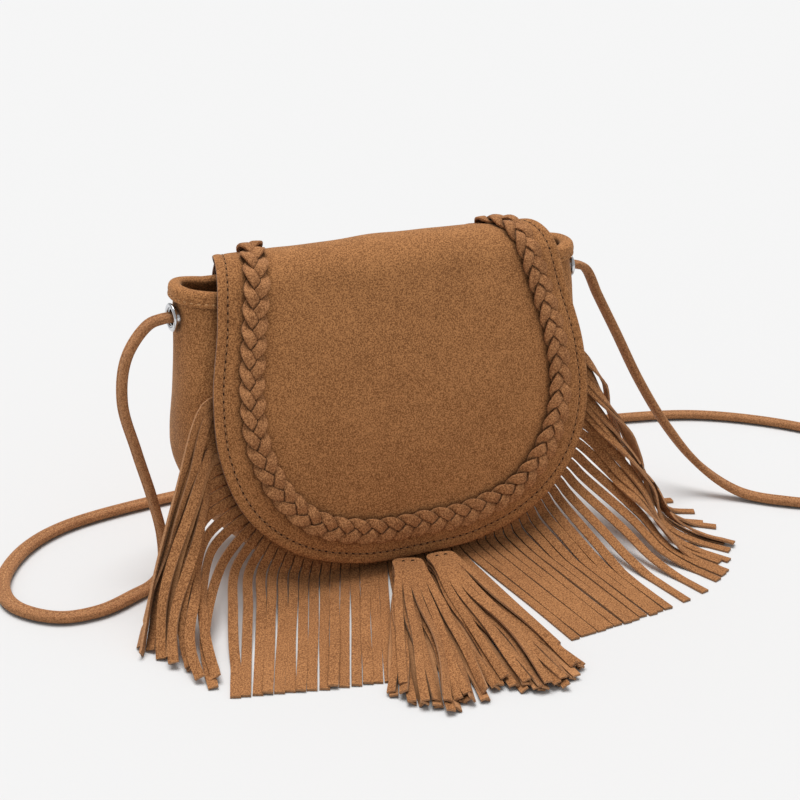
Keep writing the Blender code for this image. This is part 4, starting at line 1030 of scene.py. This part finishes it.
painted_edge = suede("painted_edge", (0.30, 0.17, 0.12), (0.17, 0.095, 0.070), speck=0.25)
suede_insets = (0.0, 0.35, 0.9, 1.7, 2.6, 3.5, 4.1, 4.6, 5.0, 5.4, 5.9, 6.5, 7.4, 8.6, 10.0)
flap_finishes = [suede_brown, painted_edge, suede_flesh]
flap_suede = flap_sheet("flap_suede", 0.0, 0.0, FLAP_SUEDE, suede_insets, 46, flap_finishes, rim=1, under=2)
backing_insets = (0.0, 0.6, 2.0, 4.0, 5.0, 6.0, 9.0)
backing_depth = FLAP_SUEDE + 0.35
flap_backing = flap_sheet("flap_backing", 0.6, backing_depth, CLOTH, backing_insets, 30, [lining_cloth], 0, 0)
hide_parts("flap")
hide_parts("flap_lining")

# Flap stitching
# One row of thread runs round the flap's free edge. A second row sews its tail to the back panel.
STITCH_PITCH = 3.85


def flap_frame(flat, height):
    """Place, and the way out of the flap, at (x, s) points."""
    rise = flap_rise(flat)
    place = on_flap(flat, -height - rise)
    out = unit(place - on_flap(flat, -height - rise + 1.0))
    return place, out


edge_way = unit(np.gradient(edge_sides, axis=0))
edge_in = towards(FLAP_MIDDLE - edge_sides, np.stack([-edge_way[:, 1], edge_way[:, 0]], axis=1))
stitch_line = edge_sides + edge_in * STITCH_INSET
stitch_line = stitch_line[stitch_line[:, 1] > TAIL_END + 4.5]
tail_row = np.array([(x, TAIL_END + 4.0) for x in (5 - FLAP_TAIL_HALF_WIDTH, FLAP_TAIL_HALF_WIDTH - 5)])
centres = []
ways = []
facings = []
for row in (stitch_line, tail_row):
    flat = evenly(row, int(path_length(row) / STITCH_PITCH) + 1)
    place, out = flap_frame(flat, 0.05)
    ways.append(unit(np.diff(place, axis=0)))
    centres.append((place[:-1] + place[1:]) / 2)
    facings.append(unit(out[:-1] + out[1:]))
centres, ways, facings = np.concatenate(centres), np.concatenate(ways), np.concatenate(facings)
flap_thread = stitches("flap_thread", centres, ways, facings, 2.5, 0.44, seam_dye, sink=-0.12)
# Painted shade: near-black capsules between the stitches stand in for the shade inside the needle holes.
holes = centres - ways * STITCH_PITCH / 2 + facings * 0.02
flap_hole_shade = stitches("flap_needle_hole_shade", holes, ways, facings, 2.0, 0.5, painted_hole_shade, sink=0.16)
# The seam keeps the end of the tail on the bag. The flap's pieces take their placement into their points.
for piece in (flap_suede, flap_backing, flap_thread, flap_hole_shade):
    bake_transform(piece)

# Braid
# Three flat suede laces plaited into a trim about 13 mm wide, sewn down along its middle by a line of thread.
# It runs over the fold at both sides and ends on the back of the fold, above the seam of the tail.
BRAID_PERIOD = 29.0
BRAID_STITCH_PITCH = 4.83
BRAID_SWING = 4.0
BRAID_LIFT = 1.5
STRAND_WIDTH = 5.0
STRAND_THICKNESS = 1.7
# The braid's colour takes painted highlights on its ridges and painted shade in its crevices.
suede_braid = suede("suede_braid", (0.62, 0.290, 0.120), (0.225, 0.088, 0.031), speck=0.9, painted_ridge_light=2.6)
braid_length = path_length(braid_line)
braid_steps = int(braid_length / BRAID_PERIOD * 26)
braid_centre = evenly(braid_line, braid_steps)
braid_side = unit(np.gradient(braid_centre, axis=0))
braid_side = np.stack([braid_side[:, 1], -braid_side[:, 0]], axis=1)
braid_at = np.linspace(0, braid_length, braid_steps)
turns = np.radians(np.arange(0, 360, 22.5))
strand_section = np.stack([squared(np.cos(turns), 0.55), squared(np.sin(turns), 0.42)], axis=1) / 2
braid_pieces = []
for number in range(3):
    phase = 2 * math.pi * (braid_at / BRAID_PERIOD + number / 3)
    flat = braid_centre + braid_side * (BRAID_SWING * (np.sin(phase) - 0.03 * np.sin(3 * phase)))[:, None]
    height = STRAND_THICKNESS / 2 + 0.1 + BRAID_LIFT * (1 + np.sin(2 * phase))
    place, out = flap_frame(flat, 0.0)
    middle = place + out * height[:, None]
    ahead = unit(np.gradient(middle, axis=0))
    across = unit(np.cross(ahead, out))
    up = unit(np.cross(across, ahead))
    swell = 1 + 0.10 * np.sin(2 * phase)
    uneven = ripple(np.stack([braid_at, braid_at * 0 + number * 99], axis=1), 17, 81)
    wide = STRAND_WIDTH * swell + 0.25 * uneven
    rings = middle[:, None] + across[:, None] * (strand_section[:, :1] * wide[:, None, None])
    rings = rings + up[:, None] * (strand_section[:, 1:] * STRAND_THICKNESS)
    strand = swept(f"braid_lace_{number + 1}", rings, [suede_braid], sharp=35)
    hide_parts(f"braid_strand_{number + 1}")
    braid_pieces.append(strand)
flat = evenly(braid_line, int(braid_length / BRAID_STITCH_PITCH) + 1)
place, out = flap_frame(flat, 0.0)
place = place + out * (STRAND_THICKNESS + BRAID_LIFT + 0.38)
ways = unit(np.diff(place, axis=0))
centres = (place[:-1] + place[1:]) / 2
facings = unit(out[:-1] + out[1:])
braid_thread = stitches("braid_thread", centres, ways, facings, 3.3, 0.42, thread_dye, sink=-0.15)
braid_pieces.append(braid_thread)
for piece in braid_pieces:
    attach(piece, "flap")

# Strap
# A suede strap rolled round a cord and stitched along a groove, about 1.2 m long and 7.5 mm wide.
# It leaves through one eyelet, lies on the floor round the back of the bag and comes in through the other.
STRAP_WIDTH = 7.5
STRAP_THICKNESS = 4.4
STRAP_STITCH_PITCH = 3.4
KNOT_INSIDE = 4.7
KNOT_HALF_WIDTH = 2.3
KNOT_HALF_THICKNESS = 1.9
STRAP_END_X = 106.4
STRAP_LIE = 3.9
STRAP_LEFT = (
    (-117, 17.6, 133.5), (-125, 17.5, 131.5), (-137, 16, 117), (-141, 13, 95), (-136, 9, 70), (-130, 5, 45),
    (-126, 2, 22), (-127, -1, 8), (-133, -5, 4.0),
)
STRAP_ON_FLOOR = (
    (-146, -12), (-166, -20), (-186, -18), (-202, 0), (-202, 24), (-184, 54), (-157, 73), (-102, 84),
    (-40, 86), (30, 86), (100, 86), (160, 86), (197, 82), (254, 65), (301, 24), (321, -20), (312, -58),
    (280, -76), (248, -72), (224, -58),
)
STRAP_RIGHT = (
    (204, -40, 5.5), (186, -22, 18), (172, -8, 38), (158, 3, 64), (145, 11, 92), (134, 16, 114),
    (125, 17.5, 130.5), (117, 17.6, 133.5),
)
strap_route = STRAP_LEFT + tuple((x, y, STRAP_LIE) for x, y in STRAP_ON_FLOOR) + STRAP_RIGHT
strap_suede = suede("strap_suede", (0.53, 0.250, 0.108), (0.235, 0.098, 0.040), speck=0.9)
hanging = smooth(strap_route, 620)
inside = evenly(np.array([(-STRAP_END_X, EYELET_Y, EYELET_Z), (-116.0, EYELET_Y, EYELET_Z)]), 6)
strap_path = np.vstack([inside, hanging, inside[::-1] * (-1, 1, 1)])
strap_path = evenly(strap_path, 640)
sinks = np.clip((20 - strap_path[:, 2]) / 14, 0, 1)
strap_path[:, 2] = np.maximum(strap_path[:, 2] - sinks, STRAP_THICKNESS / 2 + 0.1)
strap_ways = unit(np.gradient(strap_path, axis=0))
lifted = np.clip((strap_path[:, 2] - 4) / 30, 0, 1)
outward = np.stack([np.sign(strap_path[:, 0]) * lifted, 0 * lifted, 1 - 0.45 * lifted], axis=1)
strap_up = unit(outward - strap_ways * (outward * strap_ways).sum(axis=1)[:, None])
strap_side = np.cross(strap_ways, strap_up)
turns = np.radians(np.linspace(0, 360, 56, endpoint=False))
strap_x = squared(np.cos(turns), 0.7) * STRAP_WIDTH / 2
strap_y = squared(np.sin(turns), 0.6) * STRAP_THICKNESS / 2
strap_y = strap_y - np.where(np.sin(turns) > 0, 0.8 * np.exp(-((strap_x - 0.4) / 0.6) ** 2), 0)
rings = strap_path[:, None] + strap_side[:, None] * strap_x[:, None] + strap_up[:, None] * strap_y[:, None]
strap_roll = swept("strap_roll", rings, [strap_suede])
stitch_every = np.linspace(0, 639, int(path_length(strap_path) / STRAP_STITCH_PITCH))
strap_groove = strap_path + strap_side * 0.4 + strap_up * (STRAP_THICKNESS / 2 - 0.62)
groove_line = read_off(stitch_every, np.arange(640), strap_groove)
groove_up = unit(read_off(stitch_every, np.arange(640), strap_up))
ways = unit(np.diff(groove_line, axis=0))
centres = (groove_line[:-1] + groove_line[1:]) / 2
facings = unit(groove_up[:-1] + groove_up[1:])
strap_thread = stitches("strap_thread", centres, ways, facings, 2.3, 0.3, thread_dye)
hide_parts("strap")

knots = []
for label, sign in (("left", -1.0), ("right", 1.0)):
    t = np.linspace(0, 2 * math.pi, 121)[:-1]
    knot_y, knot_z = np.sin(t) + 2 * np.sin(2 * t), np.cos(t) - 2 * np.cos(2 * t)
    centre = np.array([sign * (STRAP_END_X - KNOT_INSIDE), EYELET_Y, EYELET_Z])
    path = centre + np.stack([1.1 * np.sin(3 * t), knot_y, knot_z], axis=1)
    ways = unit(np.roll(path, -1, axis=0) - np.roll(path, 1, axis=0))
    out = unit(path - centre)
    across = unit(np.cross(ways, out))
    out = np.cross(across, ways)
    knot_rings = path[:, None] + across[:, None] * (np.cos(turns) * KNOT_HALF_WIDTH)[:, None]
    knot_rings = knot_rings + out[:, None] * (np.sin(turns) * KNOT_HALF_THICKNESS)[:, None]
    knot = swept(f"strap_knot_{label}_tied", knot_rings, [strap_suede], closed=True)
    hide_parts(f"strap_knot_{label}")
    knots.append(knot)
for piece in [strap_roll, strap_thread] + knots:
    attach(piece, "bag")
